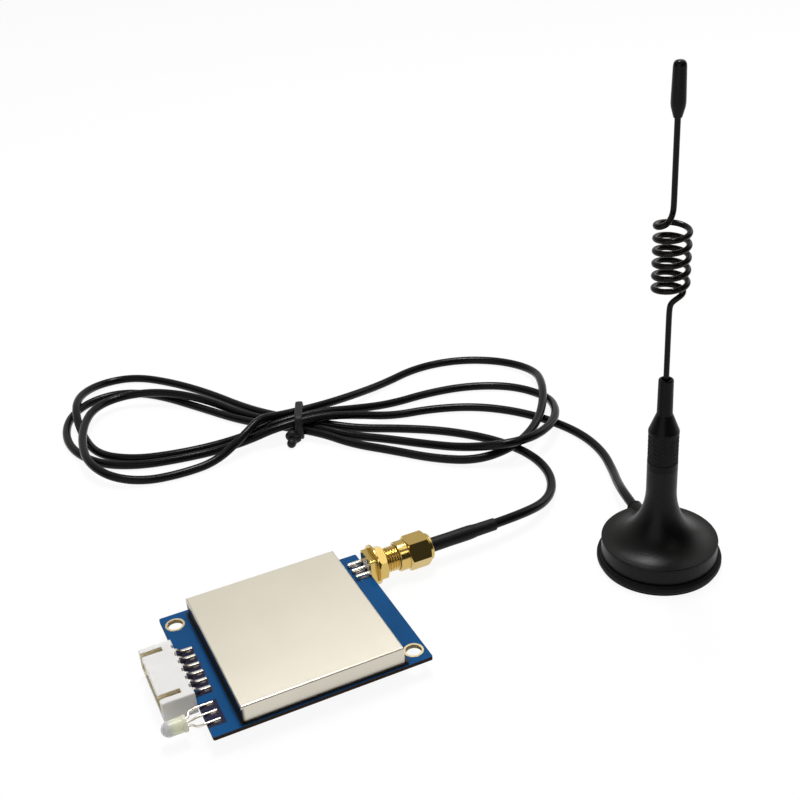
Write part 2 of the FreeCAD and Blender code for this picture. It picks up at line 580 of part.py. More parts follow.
def plug_coupling_nut():
    hex_start, hex_end, end = plug_ends()
    shoulder = JACK_LEN + PLUG_BODY_FLANGE_T + 2 * SLIP
    nut = hexagon_bar(hex_start, hex_end, PLUG_TURN)
    ring = turned([(PLUG_X, 0), (PLUG_X, PLUG_RING_R - 0.25), (PLUG_X + 0.25, PLUG_RING_R),
                   (hex_start, PLUG_RING_R), (hex_start, 0)], AX)
    collar = rod(PLUG_COLLAR_R, V(hex_end, 0, 0), V(end, 0, 0))
    nut = nut.fuse(ring).fuse(collar).removeSplitter()
    nut = nut.cut(rod(PLUG_BORE_R, V(PLUG_X - 1, 0, 0), V(shoulder, 0, 0)))
    return [on_jack_axis(nut.cut(rod(PLUG_BODY_R + SLIP, V(shoulder - 1, 0, 0), V(end + 1, 0, 0))))]


def plug_body():
    """Sleeve that enters the jack, the shoulder that the nut pulls on, and the cable stem."""
    seat = JACK_LEN + SLIP
    end = plug_ends()[2]
    front = JACK_LEN - MOUTH_DEEP + SLIP
    stem_end = end + PLUG_STEM_L
    outer = turned([(front, PLUG_SLEEVE_R), (front, MOUTH_R - SLIP), (seat, MOUTH_R - SLIP),
                    (seat, PLUG_BODY_FLANGE_R), (seat + PLUG_BODY_FLANGE_T, PLUG_BODY_FLANGE_R),
                    (seat + PLUG_BODY_FLANGE_T, PLUG_BODY_R), (end, PLUG_BODY_R),
                    (end, PLUG_STEM_R), (stem_end, PLUG_STEM_R), (stem_end, PLUG_PIN_R + SLIP),
                    (end - 1, PLUG_PIN_R + SLIP), (end - 1, PLUG_SLEEVE_R)], AX)
    return [on_jack_axis(outer)]


def plug_insulator():
    front = JACK_LEN - MOUTH_DEEP + SLIP
    end = plug_ends()[2] - 1
    bore, radius = PLUG_PIN_R, PLUG_SLEEVE_R - SLIP
    return [on_jack_axis(turned([(front, bore), (front, radius), (end, radius), (end, bore)], AX))]


def plug_pin():
    face = JACK_LEN - MOUTH_DEEP
    tip = face - PLUG_PIN_REACH
    end = plug_ends()[2] + PLUG_STEM_L
    return [on_jack_axis(turned([(tip, 0), (tip + 0.5, PLUG_PIN_R), (end, PLUG_PIN_R), (end, 0)], AX))]


def crimp_ferrule():
    """Pressed over the stem and the cable's braid; its rear is closed on the cable's end."""
    start = plug_ends()[2]
    end = start + FERRULE_L
    stem_end = start + PLUG_STEM_L
    return [on_jack_axis(turned([(start, PLUG_STEM_R), (start, FERRULE_R), (end, FERRULE_R), (end, 0),
                                 (stem_end, 0), (stem_end, PLUG_STEM_R)], AX))]


def heat_shrink_sleeve():
    start = plug_ends()[2]
    step, end = start + FERRULE_L, start + SLEEVE_L
    over, snug = FERRULE_R + SLIP, CABLE_R + SLIP
    return [on_jack_axis(turned([(start, over), (start, SLEEVE_R), (step, SLEEVE_R),
                                 (step + 1.5, SLEEVE_END_R), (end, SLEEVE_END_R), (end, snug),
                                 (step, snug), (step, over)], AX))]


def cable_points():
    """The route, its first points moved with the jack and its last ones with the antenna."""
    points = [V(*point) for point in CABLE_ROUTE]
    start = BOARD_X + EDGE_R + plug_ends()[2] + FERRULE_L + SLIP
    for number in range(JACK_POINT_COUNT):
        points[number] += AX * (start - ROUTE_JACK_X)
    for number in range(len(points) - ANTENNA_POINT_COUNT, len(points)):
        points[number] += ANTENNA_AT - V(*ROUTE_ANTENNA, 0)
    return points


def antenna_cable():
    points = cable_points()
    cable, length, least = tube(points, CABLE_R)
    section = math.pi * CABLE_R ** 2
    print("cable length %.1f mm, least bend radius %.1f mm" % (length, least))
    print("cable volume over section times length: %.4f" % (cable.Volume / (section * length)))
    return [cable]


def tie_to_world(shape):
    shape.rotate(V(0, 0, 0), AZ, TIE_TURN)
    shape.translate(V(TIE_X, TIE_Y, 0))
    return shape


def cable_tie():
    """A rubbery band round the six strands, its bound ends lying on the floor beside it."""
    def frame(grow):
        shape = box(-TIE_W / 2, TIE_W / 2, TIE_U0 - grow, TIE_U1 + grow, TIE_Z0 - grow, TIE_Z1 + grow)
        along = [edge for edge in shape.Edges if edge.BoundBox.XLength > TIE_W - 0.01]
        return shape.makeFillet(TIE_BORE_R + grow, along)
    outer = frame(TIE_T)
    rims = [edge for edge in outer.Edges if edge.BoundBox.XLength < 0.01]
    band = outer.makeFillet(TIE_EDGE_R, rims).cut(frame(0))
    points = [V(*point) for point in TIE_STUB]
    stub = tube(points, TIE_STUB_R)[0].fuse(Part.makeSphere(TIE_STUB_R, points[-1]))
    return [tie_to_world(band.fuse(stub).removeSplitter())]


def gland_point(distance, height=GLAND_Z):
    turn = math.radians(GLAND_TURN)
    return V(distance * math.cos(turn), distance * math.sin(turn), height)


def flare(grow):
    """Quarter ellipse from the neck down to the rim; grow moves it inwards."""
    centre = V(FLARE_R, 0, NECK_Z)
    low = V(FLARE_R, 0, FLARE_Z - grow)
    side = V(NECK_R - grow, 0, NECK_Z)
    return Part.Ellipse(low, side, centre)


def revolved(edges):
    return Part.Face(Part.Wire(edges)).revolve(V(0, 0, 0), AZ, 360)


def lines(*points):
    spots = [V(radius, 0, height) for radius, height in points]
    return [Part.LineSegment(a, b).toShape() for a, b in zip(spots, spots[1:])]


def antenna_base_shell():
    """Moulded flared shell, open underneath, with the cable's boss at its back."""
    skin = flare(0).toShape(0, math.pi / 2)
    outer = revolved(lines((NECK_R, NECK_Z), (NECK_R, NECK_TOP), (0, NECK_TOP), (0, FOOT_H),
                           (BASE_R, FOOT_H), (BASE_R, BASE_RIM_Z), (FLARE_R, FLARE_Z)) + [skin])
    boss = rod(GLAND_BOSS_R, gland_point(BASE_R - 2), gland_point(GLAND_OUT))
    shell = outer.fuse(boss)
    lining = flare(BASE_WALL)
    inner_r = BASE_R - BASE_WALL
    reach = math.acos(math.sqrt(1 - ((FLARE_R - inner_r) / (FLARE_R - NECK_R + BASE_WALL)) ** 2))
    vault = lining.toShape(reach, math.pi / 2)
    vault_low = lining.value(reach)
    cavity = revolved(lines((NECK_R - BASE_WALL, NECK_Z), (0, NECK_Z), (0, FOOT_H - 1),
                            (inner_r, FOOT_H - 1), (inner_r, vault_low.z)) + [vault])
    shell = shell.cut(cavity)
    shell = shell.cut(rod(STUD_R + SLIP, V(0, 0, NECK_Z - 1), V(0, 0, NECK_TOP + 1)))
    return [shell.cut(rod(GROMMET_R + SLIP, gland_point(BASE_R - 1.6), gland_point(GLAND_OUT + 1)))]


def base_plate():
    """Steel foot disc with a low step that centres the shell."""
    step_r = BASE_R - BASE_WALL - SLIP
    return [turned([(PAD_H, 0), (PAD_H, FOOT_R - FOOT_EDGE_R), (PAD_H + FOOT_EDGE_R, FOOT_R),
                    (FOOT_H - FOOT_EDGE_R, FOOT_R), (FOOT_H, FOOT_R - FOOT_EDGE_R),
                    (FOOT_H, step_r), (FOOT_H + SPIGOT_H, step_r), (FOOT_H + SPIGOT_H, 0)], AZ)]


def foot_pad():
    return [Part.makeCylinder(PAD_R, PAD_H)]


def base_magnet():
    magnet = Part.makeCylinder(MAGNET_R, MAGNET_H, V(0, 0, FOOT_H + SPIGOT_H))
    return [magnet.makeChamfer(0.3, [magnet.Edges[0], magnet.Edges[2]])]


def whip_stud():
    return [Part.makeCylinder(STUD_R, STUD_Z1 - STUD_Z0, V(0, 0, STUD_Z0))]


def whip_holder():
    """Knurled sleeve, cone and stem in one turned piece, bored for the stud and the wire."""
    knurl = prism(star(NECK_R, NECK_R - KNURL_DEEP, KNURL_TEETH, V(0, 0, NECK_TOP), V(0, 0, 1)),
                  AZ * (KNURL_TOP - NECK_TOP))
    upper = turned([(KNURL_TOP, 0), (KNURL_TOP, NECK_R), (CONE_TOP, STEM_R), (STEM_TOP, STEM_TIP_R),
                    (STEM_TOP, 0)], AZ)
    holder = knurl.fuse(upper).removeSplitter()
    holder = holder.cut(rod(STUD_R + SLIP, V(0, 0, NECK_TOP - 1), V(0, 0, STUD_Z1 + SLIP)))
    holder = holder.cut(rod(WIRE_R + SLIP, V(0, 0, WIRE_Z0 - SLIP), V(0, 0, STEM_TOP)))
    recess = rod(STEM_RECESS_R, V(0, 0, STEM_TOP - STEM_RECESS_DEEP), V(0, 0, STEM_TOP + 1))
    return [holder.cut(recess)]


def coil_point(turns):
    """Point of the wire after so many turns; the radius eases in and out at both ends."""
    before = max(0.0, -turns) / COIL_LEAD
    after = max(0.0, turns - COIL_TURNS) / COIL_LEAD
    radius = COIL_R * (1 - before ** 2 - after ** 2)
    height = COIL_Z - COIL_PITCH * turns + COIL_BEND * (before ** 2 - after ** 2)
    turn = math.radians(COIL_START - 360 * turns)
    return V(radius * math.cos(turn), radius * math.sin(turn), height)


def whip_wire():
    """One wire: straight, a spread coil, and straight again into the holder."""
    count = int(round(COIL_TURNS * COIL_STEPS))
    points = [V(0, 0, WIRE_Z1), coil_point(-COIL_LEAD)]
    points += [coil_point(COIL_TURNS * number / count) for number in range(count + 1)]
    points += [coil_point(COIL_TURNS + COIL_LEAD), V(0, 0, WIRE_Z0)]
    return [tube(points, WIRE_R)[0]]


def whip_tip_cap():
    tip_round = CAP_TIP_R * 0.6
    cap = turned([(CAP_Z0, 0), (CAP_Z0, CAP_R0), (CAP_FLARE_Z, CAP_R), (CAP_TOP - tip_round, CAP_TIP_R),
                  (CAP_TOP - tip_round * 0.3, CAP_TIP_R * 0.8), (CAP_TOP, CAP_TIP_R * 0.4),
                  (CAP_TOP, 0)], AZ)
    return [cap.cut(rod(WIRE_R + SLIP, V(0, 0, CAP_Z0 - 1), V(0, 0, WIRE_Z1 + SLIP)))]


def cable_grommet():
    sleeve = rod(GROMMET_R, gland_point(GROMMET_IN), gland_point(GLAND_OUT))
    rim = rod(GROMMET_RIM_R, gland_point(GLAND_OUT), gland_point(GLAND_OUT + GROMMET_RIM_T))
    bore = rod(CABLE_R + SLIP, gland_point(GROMMET_IN - 1), gland_point(GLAND_OUT + 1))
    return [sleeve.fuse(rim).removeSplitter().cut(bore)]


def feed_wire():
    """From the cable's end over the magnet and up to the stud."""
    cable_end = cable_points()[-1] - ANTENNA_AT
    distance = math.hypot(cable_end.x, cable_end.y)
    points = [gland_point(distance - SLIP), gland_point(distance - FEED_DIP_IN, GLAND_Z - FEED_DIP),
              gland_point(distance / 2, GLAND_Z + FEED_OVER_MAGNET),
              V(0, 0, GLAND_Z + FEED_AT_AXIS), V(0, 0, STUD_Z0)]
    return [tube(points, FEED_R)[0]]


def main():
    os.makedirs("parts", exist_ok=True)
    pins, leads, body, contact = header_pins(), lamp_leads(), jack_body(), jack_pin()
    on_board = {
        "circuit_board": circuit_board(), "hole_plating": hole_plating(), "solder_pads": solder_pads(),
        "shield_frame": shield_frame(), "shield_can": shield_can(),
        "transceiver_chip": [chip(TRANSCEIVER)], "controller_chip": [chip(CONTROLLER)],
        "controller_leads": controller_leads(), "crystal": [chip(CRYSTAL)],
        "rf_switch": [chip(RF_SWITCH)], "capacitors": capacitors(), "inductors": inductors(),
        "header_housing": header_housing(), "header_pins": pins,
        "lamp_lens": lamp_lens(), "lamp_leads": leads,
        "solder_joints": solder_joints(pins, leads, body[0], contact[0]),
        "jack_body": body, "jack_insulator": jack_insulator(), "jack_pin": contact,
        "jack_washer": jack_washer(), "jack_nut": jack_nut(),
        "plug_coupling_nut": plug_coupling_nut(), "plug_body": plug_body(),
        "plug_insulator": plug_insulator(), "plug_pin": plug_pin(),
        "crimp_ferrule": crimp_ferrule(), "heat_shrink_sleeve": heat_shrink_sleeve()}
    on_antenna = {
        "antenna_base_shell": antenna_base_shell(), "base_plate": base_plate(), "foot_pad": foot_pad(),
        "base_magnet": base_magnet(), "whip_stud": whip_stud(), "whip_holder": whip_holder(),
        "whip_wire": whip_wire(), "whip_tip_cap": whip_tip_cap(), "cable_grommet": cable_grommet(),
        "feed_wire": feed_wire()}
    for name, solids in on_board.items():
        save(name, solids, BOARD_AT)
    for name, solids in on_antenna.items():
        save(name, solids, ANTENNA_AT)
    save("antenna_cable", antenna_cable())
    save("cable_tie", cable_tie())


main()
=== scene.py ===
import math
import bpy
from mathutils import Matrix, Vector


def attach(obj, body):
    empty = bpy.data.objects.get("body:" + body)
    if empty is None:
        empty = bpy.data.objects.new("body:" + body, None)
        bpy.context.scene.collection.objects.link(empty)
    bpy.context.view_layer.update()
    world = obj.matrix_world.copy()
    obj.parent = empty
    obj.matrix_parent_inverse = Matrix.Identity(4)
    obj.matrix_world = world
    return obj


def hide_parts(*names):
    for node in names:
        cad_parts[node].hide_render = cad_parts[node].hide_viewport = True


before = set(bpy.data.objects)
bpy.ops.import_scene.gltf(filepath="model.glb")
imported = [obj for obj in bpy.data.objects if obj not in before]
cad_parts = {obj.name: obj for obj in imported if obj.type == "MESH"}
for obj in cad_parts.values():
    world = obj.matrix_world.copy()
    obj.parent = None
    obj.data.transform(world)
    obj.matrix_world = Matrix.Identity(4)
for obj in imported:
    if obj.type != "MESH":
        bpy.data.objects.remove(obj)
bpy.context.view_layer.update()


# Table, light and camera.
# A pale seamless card under one strong soft lamp, with weak ones to each side and over the camera. The
# room is bright at the back only: gold plate and black plastic show its dark front as their black sides.

def linear(code):
    """An sRGB hex colour as linear red, green, blue and alpha."""
    parts = [int(code[place:place + 2], 16) / 255 for place in (1, 3, 5)]
    return [part / 12.92 if part <= 0.04045 else ((part + 0.055) / 1.055) ** 2.4 for part in parts] + [1.0]


def add(tree, kind, sockets=None, **settings):
    """Adds a node; sockets gives its inputs a value or another node's output, settings its own options."""
    node = tree.nodes.new(kind)
    for name, value in settings.items():
        setattr(node, name, value)
    for name, value in (sockets or {}).items():
        if isinstance(value, bpy.types.NodeSocket):
            tree.links.new(value, node.inputs[name])
        else:
            node.inputs[name].default_value = value
    return node


def deselect():
    """Leaves edit mode with nothing selected."""
    if bpy.context.object and bpy.context.object.mode == "EDIT":
        bpy.ops.object.mode_set(mode="OBJECT")
    bpy.ops.object.select_all(action="DESELECT")


bpy.context.scene.view_settings.view_transform = "Standard"

GLOW_SHARE = 0.92                           # how far camera and mirrors see the card as plain white
deselect()
bpy.ops.mesh.primitive_plane_add(size=6.0)
table = bpy.context.object
table.name = "table"
card = bpy.data.materials.new("white_card")
card.use_nodes = True
tree = card.node_tree
tree.nodes.clear()
rays = add(tree, "ShaderNodeLightPath")
seen = add(tree, "ShaderNodeMath", {0: rays.outputs["Is Camera Ray"], 1: rays.outputs["Is Glossy Ray"]},
           operation="MAXIMUM")
seen = add(tree, "ShaderNodeMath", {0: seen.outputs[0], 1: rays.outputs["Is Transmission Ray"]},
           operation="MAXIMUM")
share = add(tree, "ShaderNodeMath", {0: seen.outputs[0], 1: GLOW_SHARE}, operation="MULTIPLY")
paper = add(tree, "ShaderNodeBsdfDiffuse", {"Color": linear("#ededed")})
glow = add(tree, "ShaderNodeEmission", {"Color": [1, 1, 1, 1], "Strength": 1.0})
mixed = add(tree, "ShaderNodeMixShader", {0: share.outputs[0], 1: paper.outputs[0], 2: glow.outputs[0]})
add(tree, "ShaderNodeOutputMaterial", {"Surface": mixed.outputs[0]})
table.data.materials.append(card)

BRIGHT_SIDE = (0.17, 0.72, 0.67)            # the way to the bright part of the room, behind the object
world = bpy.data.worlds.new("studio")
bpy.context.scene.world = world
world.use_nodes = True
tree = world.node_tree
tree.nodes.clear()
toward = add(tree, "ShaderNodeTexCoord")
behind = add(tree, "ShaderNodeVectorMath", {0: toward.outputs["Generated"], 1: BRIGHT_SIDE},
             operation="DOT_PRODUCT")
room = add(tree, "ShaderNodeMapRange", {"Value": behind.outputs["Value"], "From Min": 0.05, "From Max": 0.85,
                                        "To Min": 0.05, "To Max": 0.68}, interpolation_type="SMOOTHSTEP")
rays = add(tree, "ShaderNodeLightPath")
air = add(tree, "ShaderNodeBackground", {"Color": linear("#fbfaf6"), "Strength": room.outputs[0]})
white = add(tree, "ShaderNodeBackground", {"Color": [1, 1, 1, 1], "Strength": 1.0})
mixed = add(tree, "ShaderNodeMixShader", {0: rays.outputs["Is Camera Ray"], 1: air.outputs[0],
                                          2: white.outputs[0]})
add(tree, "ShaderNodeOutputWorld", {"Surface": mixed.outputs[0]})

# Each lamp's name, place, width and length in metres, power in watts and colour. All face the object.
AIM = Vector((0, 0.03, 0.02))
LAMPS = (("window_left", (-0.48, -0.34, 0.26), 0.60, 0.60, 1.2, "#ffffff"),
         ("window_right", (0.58, 0.16, 0.32), 0.40, 0.40, 0.6, "#ffffff"),
         ("ceiling_strip", (0.10, 0.20, 0.76), 0.12, 0.31, 4.8, "#ffffff"),
         ("over_right", (0.26, -0.08, 0.76), 0.16, 0.16, 0.10, "#ffffff"),
         ("over_camera", (0.18, -0.42, 0.53), 0.14, 0.14, 0.20, "#fff4e6"))
for name, place, width, length, power, colour in LAMPS:
    bpy.ops.object.light_add(type="AREA", location=place)
    lamp = bpy.context.object
    lamp.name = name
    lamp.data.shape = "RECTANGLE"
    lamp.data.size = width
    lamp.data.size_y = length
    lamp.data.energy = power
    lamp.data.color = linear(colour)[:3]
    lamp.rotation_euler = (AIM - Vector(place)).to_track_quat("-Z", "Y").to_euler()

# The camera's place, turn and lens were worked out from the board's corners and the foot's rim.
bpy.ops.object.camera_add(location=(-0.07987, -0.17686, 0.15574),
                          rotation=[math.radians(angle) for angle in (61.3291, 3.9511, -25.0224)])
camera = bpy.context.object
camera.data.lens = 53.15
camera.data.sensor_width = 36
camera.data.clip_start = 0.005
bpy.context.scene.camera = camera


# Antenna cable.
# Coaxial cable, 2.2 mm over its jacket of extruded black vinyl. It leaves the plug's sleeve, lies
# in a hank of two and a half figure-eight turns, held by a tie, and enters the antenna's foot.

def finish(name, colour, roughness, **sockets):
    """Starts a material: its node tree, its shader, and the piece's own coordinates. The colour and the
    roughness are its mean, and hold until a pattern is laid over them."""
    material = bpy.data.materials.new(name)
    material.use_nodes = True
    tree = material.node_tree
    tree.nodes.clear()
    sockets = {key.replace("_", " "): value for key, value in sockets.items()}
    shader = add(tree, "ShaderNodeBsdfPrincipled",
                 {"Base Color": linear(colour), "Roughness": roughness, **sockets})
    add(tree, "ShaderNodeOutputMaterial", {"Surface": shader.outputs[0]})
    return material, tree, shader, add(tree, "ShaderNodeTexCoord").outputs["Object"]


def grain(tree, shader, place, size, depth, detail=3.0):
    """Raises the surface by a noise, its size and depth given in millimetres; returns the noise."""
    noise = add(tree, "ShaderNodeTexNoise", {"Vector": place, "Scale": 1000 / size, "Detail": detail})
    bump = add(tree, "ShaderNodeBump", {"Height": noise.outputs["Fac"], "Distance": depth / 1000,
                                        "Strength": 1.0})
    tree.links.new(bump.outputs["Normal"], shader.inputs["Normal"])
    return noise


def vary(tree, socket, driver, low, high):
    """Drives a socket between two numbers or two hex colours by another node's output; the first colour
    may be an output too."""
    if isinstance(high, str):
        low = linear(low) if isinstance(low, str) else low
        blend = add(tree, "ShaderNodeMix", {0: driver, 6: low, 7: linear(high)}, data_type="RGBA")
        tree.links.new(blend.outputs[2], socket)
    else:
        spread = add(tree, "ShaderNodeMapRange", {"Value": driver, "From Min": 0.3, "From Max": 0.7,
                                                  "To Min": low, "To Max": high})
        tree.links.new(spread.outputs[0], socket)


def inside(tree, place, middle, half, soft):
    """1 inside a box and 0 outside, over a soft edge; the box is given in millimetres."""
    from_middle = add(tree, "ShaderNodeVectorMath", {0: place, 1: Vector(middle) / 1000},
                      operation="SUBTRACT")
    reach = add(tree, "ShaderNodeVectorMath", {0: from_middle.outputs[0]}, operation="ABSOLUTE")
    past = add(tree, "ShaderNodeVectorMath", {0: reach.outputs[0], 1: Vector(half) / 1000},
               operation="SUBTRACT")
    parts = add(tree, "ShaderNodeSeparateXYZ", {0: past.outputs[0]})
    most = add(tree, "ShaderNodeMath", {0: parts.outputs[0], 1: parts.outputs[1]}, operation="MAXIMUM")
    most = add(tree, "ShaderNodeMath", {0: most.outputs[0], 1: parts.outputs[2]}, operation="MAXIMUM")
    share = add(tree, "ShaderNodeMapRange", {"Value": most.outputs[0], "From Min": soft / 1000,
                                             "From Max": 0.0, "To Min": 0.0, "To Max": 1.0})
    return share.outputs[0]


# Extruded soft vinyl: satin, with the faint waviness that drawing leaves, 1.5 mm apart.
vinyl, tree, shader, place = finish("black_vinyl_jacket", "#0a0a0b", 0.26, IOR=1.52,
                                    Specular_IOR_Level=0.12)
waves = grain(tree, shader, place, 1.5, 0.012)
vary(tree, shader.inputs["Roughness"], waves.outputs["Fac"], 0.21, 0.31)
cloud = add(tree, "ShaderNodeTexNoise", {"Vector": place, "Scale": 60.0, "Detail": 2.0})
vary(tree, shader.inputs["Base Color"], cloud.outputs["Fac"], "#070708", "#0d0d0f")

CABLE_ROUTE = (
    (0.0155, 0.01555, 0.0044), (0.028, 0.01555, 0.0044), (0.039, 0.0205, 0.0021),
    (0.0458, 0.0305, 0.0011), (0.0465, 0.042, 0.0011), (0.0415, 0.0535, 0.0011), (0.033, 0.0635, 0.0011),
    (0.0236, 0.0706, 0.0011), (0.0142, 0.0764, 0.0011), (0.00616, 0.0823, 0.0023),
    (-0.00184, 0.0912, 0.0023), (-0.0079, 0.1032, 0.0011), (-0.014, 0.117, 0.0011),
    (-0.0215, 0.1295, 0.0011), (-0.03, 0.139, 0.0011), (-0.0396, 0.1406, 0.0011),
    (-0.0472, 0.1328, 0.0031), (-0.0506, 0.1232, 0.0037), (-0.0512, 0.1124, 0.0011),
    (-0.0498, 0.1, 0.0011), (-0.042, 0.0926, 0.0011), (-0.032, 0.0894, 0.0011), (-0.0215, 0.088, 0.0011),
    (-0.0126, 0.0864, 0.0024), (-0.0048, 0.0847, 0.00465), (0.0072, 0.0841, 0.00465),
    (0.0165, 0.0832, 0.0031), (0.027, 0.0838, 0.0011), (0.039, 0.084, 0.0011), (0.0505, 0.0815, 0.0011),
    (0.0605, 0.075, 0.0011), (0.0654, 0.065, 0.0011), (0.0616, 0.0542, 0.0033), (0.0554, 0.0464, 0.0046),
    (0.0464, 0.0412, 0.0059), (0.0374, 0.043, 0.0056), (0.0316, 0.0514, 0.0026), (0.0258, 0.06, 0.0011),
    (0.0186, 0.0674, 0.0011), (0.0112, 0.0739, 0.0011), (0.0052, 0.0799, 0.0023),
    (-0.0028, 0.0889, 0.0023), (-0.0098, 0.1, 0.0011), (-0.0156, 0.1094, 0.0025),
    (-0.0224, 0.1162, 0.00375), (-0.0298, 0.1221, 0.0038), (-0.0379, 0.1253, 0.0031),
    (-0.0454, 0.1222, 0.0033), (-0.05, 0.1134, 0.00385), (-0.0527, 0.1032, 0.0038),
    (-0.0534, 0.093, 0.0037), (-0.0498, 0.0846, 0.0026), (-0.0424, 0.0806, 0.0011),
    (-0.033, 0.079, 0.0011), (-0.0235, 0.08, 0.0011), (-0.015, 0.0824, 0.0048), (-0.009, 0.086, 0.0066),
    (-0.0028, 0.0873, 0.005), (0.0082, 0.0872, 0.00465), (0.0188, 0.0907, 0.003), (0.03, 0.0955, 0.0011),
    (0.0425, 0.0995, 0.0011), (0.055, 0.0975, 0.0011), (0.0654, 0.09, 0.0011), (0.0696, 0.0785, 0.0019),
    (0.0649, 0.0665, 0.0039), (0.0586, 0.0564, 0.0035), (0.0512, 0.0486, 0.0034),
    (0.0426, 0.0434, 0.0035), (0.0332, 0.0448, 0.0018), (0.025, 0.052, 0.0011), (0.0174, 0.0614, 0.0011),
    (0.0098, 0.07, 0.0011), (0.00424, 0.0776, 0.0023), (-0.00376, 0.0865, 0.0023),
    (-0.0114, 0.0974, 0.0011), (-0.0182, 0.1092, 0.0011), (-0.0274, 0.1246, 0.0011),
    (-0.036, 0.1316, 0.0011), (-0.0454, 0.1309, 0.0011), (-0.0522, 0.1246, 0.0011),
    (-0.0554, 0.1146, 0.0011), (-0.0548, 0.1042, 0.0011), (-0.05, 0.0945, 0.0011),
    (-0.0415, 0.0888, 0.0011), (-0.0315, 0.0864, 0.0011), (-0.0219, 0.0852, 0.0011),
    (-0.0134, 0.0834, 0.0026), (-0.00576, 0.08234, 0.00465), (0.00624, 0.08174, 0.00465),
    (0.0148, 0.0799, 0.0034), (0.0247, 0.0776, 0.0011), (0.0355, 0.0755, 0.0011),
    (0.046, 0.0705, 0.0011), (0.054, 0.0625, 0.0011), (0.0594, 0.053, 0.0011), (0.0623, 0.043, 0.0011),
    (0.062, 0.0333, 0.0011), (0.059, 0.0246, 0.0014), (0.0552, 0.0168, 0.0032),
    (0.05232, 0.00974, 0.005), (0.05078, 0.0025, 0.005))
cable_line = bpy.data.curves.new("antenna_cable_line", "CURVE")
cable_line.dimensions = "3D"
cable_line.bevel_depth = 0.0011
cable_line.bevel_resolution = 6
cable_line.resolution_u = 12
cable_line.use_fill_caps = True
strand = cable_line.splines.new("NURBS")
strand.points.add(len(CABLE_ROUTE) - 1)
for point, spot in zip(strand.points, CABLE_ROUTE):
    point.co = (*spot, 1.0)
strand.order_u = 3
strand.use_endpoint_u = True
cable = bpy.data.objects.new("cable", cable_line)
bpy.context.collection.objects.link(cable)
cable.data.materials.append(vinyl)
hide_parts("antenna_cable")
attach(cable, "root")


# Circuit board.
# Glass-filled epoxy, 0.8 mm, with a glossy blue solder mask printed over copper on both faces and a
# routed, bare edge that shows the dark laminate. Everything else is soldered to it or stands on it.
BOARD = Vector((-31.55, 2.55, 3.1))         # middle of the board's underside, in millimetres
PAD_TOP = 0.85                              # the pads' upper face above the board's underside


def dress(material, *nodes):
    """Gives CAD nodes that are shown as they are their material."""
    for node in nodes:
        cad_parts[node].data.materials.clear()
        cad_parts[node].data.materials.append(material)


# Liquid solder mask: glossy, a deep blue over the copper. Round the tails of the pins and of the lamp's
# leads it is painted nearly black, as the shadow that the pins and leads cast there.
mask, tree, shader, place = finish("blue_solder_mask", "#074374", 0.20, IOR=1.55, Specular_IOR_Level=0.1)
grain(tree, shader, place, 0.8, 0.004)
copper = add(tree, "ShaderNodeTexNoise", {"Vector": place, "Scale": 75.0, "Detail": 1.5})
blue = add(tree, "ShaderNodeMix", {0: copper.outputs["Fac"], 6: linear("#04365f"), 7: linear("#0a5088")},
           data_type="RGBA")
# Painted shadow: dark boxes on the mask along the header's pins and along the lamp's leads.
for middle_y, half_y in ((-0.2, 7.1), (-12.9, 3.35)):
    pin_shadow = inside(tree, place, BOARD + Vector((-20.4, middle_y, 0.8)), (1.75, half_y, 1.0), 0.2)
    blue = add(tree, "ShaderNodeMix", {0: pin_shadow, 6: blue.outputs[2], 7: linear("#20223a")}, data_type="RGBA")
# Where the surface stands upright it is the routed edge: bare, matt laminate with its glass showing.
facing = add(tree, "ShaderNodeNewGeometry")
upright = add(tree, "ShaderNodeSeparateXYZ", {0: facing.outputs["True Normal"]})
level = add(tree, "ShaderNodeMath", {0: upright.outputs["Z"]}, operation="ABSOLUTE")
flat = add(tree, "ShaderNodeMath", {0: level.outputs[0], 1: 0.6}, operation="GREATER_THAN")
fibre = add(tree, "ShaderNodeTexNoise", {"Vector": place, "Scale": 2500.0, "Detail": 2.0})
edge = add(tree, "ShaderNodeMix", {0: fibre.outputs["Fac"], 6: linear("#15100d"), 7: linear("#352316")},
           data_type="RGBA")
both = add(tree, "ShaderNodeMix", {0: flat.outputs[0], 6: edge.outputs[2], 7: blue.outputs[2]},
           data_type="RGBA")
tree.links.new(both.outputs[2], shader.inputs["Base Color"])
dull = add(tree, "ShaderNodeMapRange", {"Value": flat.outputs[0], "To Min": 0.7, "To Max": 0.2})
tree.links.new(dull.outputs[0], shader.inputs["Roughness"])
dress(mask, "circuit_board")


# Plated screw holes.
# A gold-flashed copper land round each 3.1 mm hole, on both faces, joined by the film that lines
# the hole. The lands are etched from the board's copper and so stand a hair above the mask.

def turned(profile, foot, axis, sides=64):
    """A turned piece: a ring is drawn out along the axis and resized, as (along, radius) pairs say.
    A profile that ends where it starts closes on itself; any other gets flat ends."""
    deselect()
    turn = Vector((0, 0, 1)).rotation_difference(axis).to_euler()
    bpy.ops.mesh.primitive_circle_add(vertices=sides, radius=profile[0][1],
                                      location=foot + axis * profile[0][0], rotation=turn)
    bpy.ops.object.transform_apply(location=True, rotation=True, scale=True)
    bpy.ops.object.mode_set(mode="EDIT")
    bpy.ops.mesh.select_all(action="SELECT")
    for (along, radius), (next_along, next_radius) in zip(profile, profile[1:]):
        bpy.ops.mesh.extrude_edges_move(TRANSFORM_OT_translate={"value": axis * (next_along - along)})
        growth = next_radius / radius
        bpy.ops.transform.resize(value=(growth, growth, growth), center_override=foot + axis * next_along)
    bpy.ops.mesh.select_all(action="SELECT")
    bpy.ops.mesh.remove_doubles(threshold=0.0005)
    bpy.ops.mesh.fill_holes(sides=0)
    bpy.ops.mesh.select_all(action="SELECT")
    bpy.ops.mesh.normals_make_consistent(inside=False)
    bpy.ops.object.mode_set(mode="OBJECT")
    return bpy.context.object


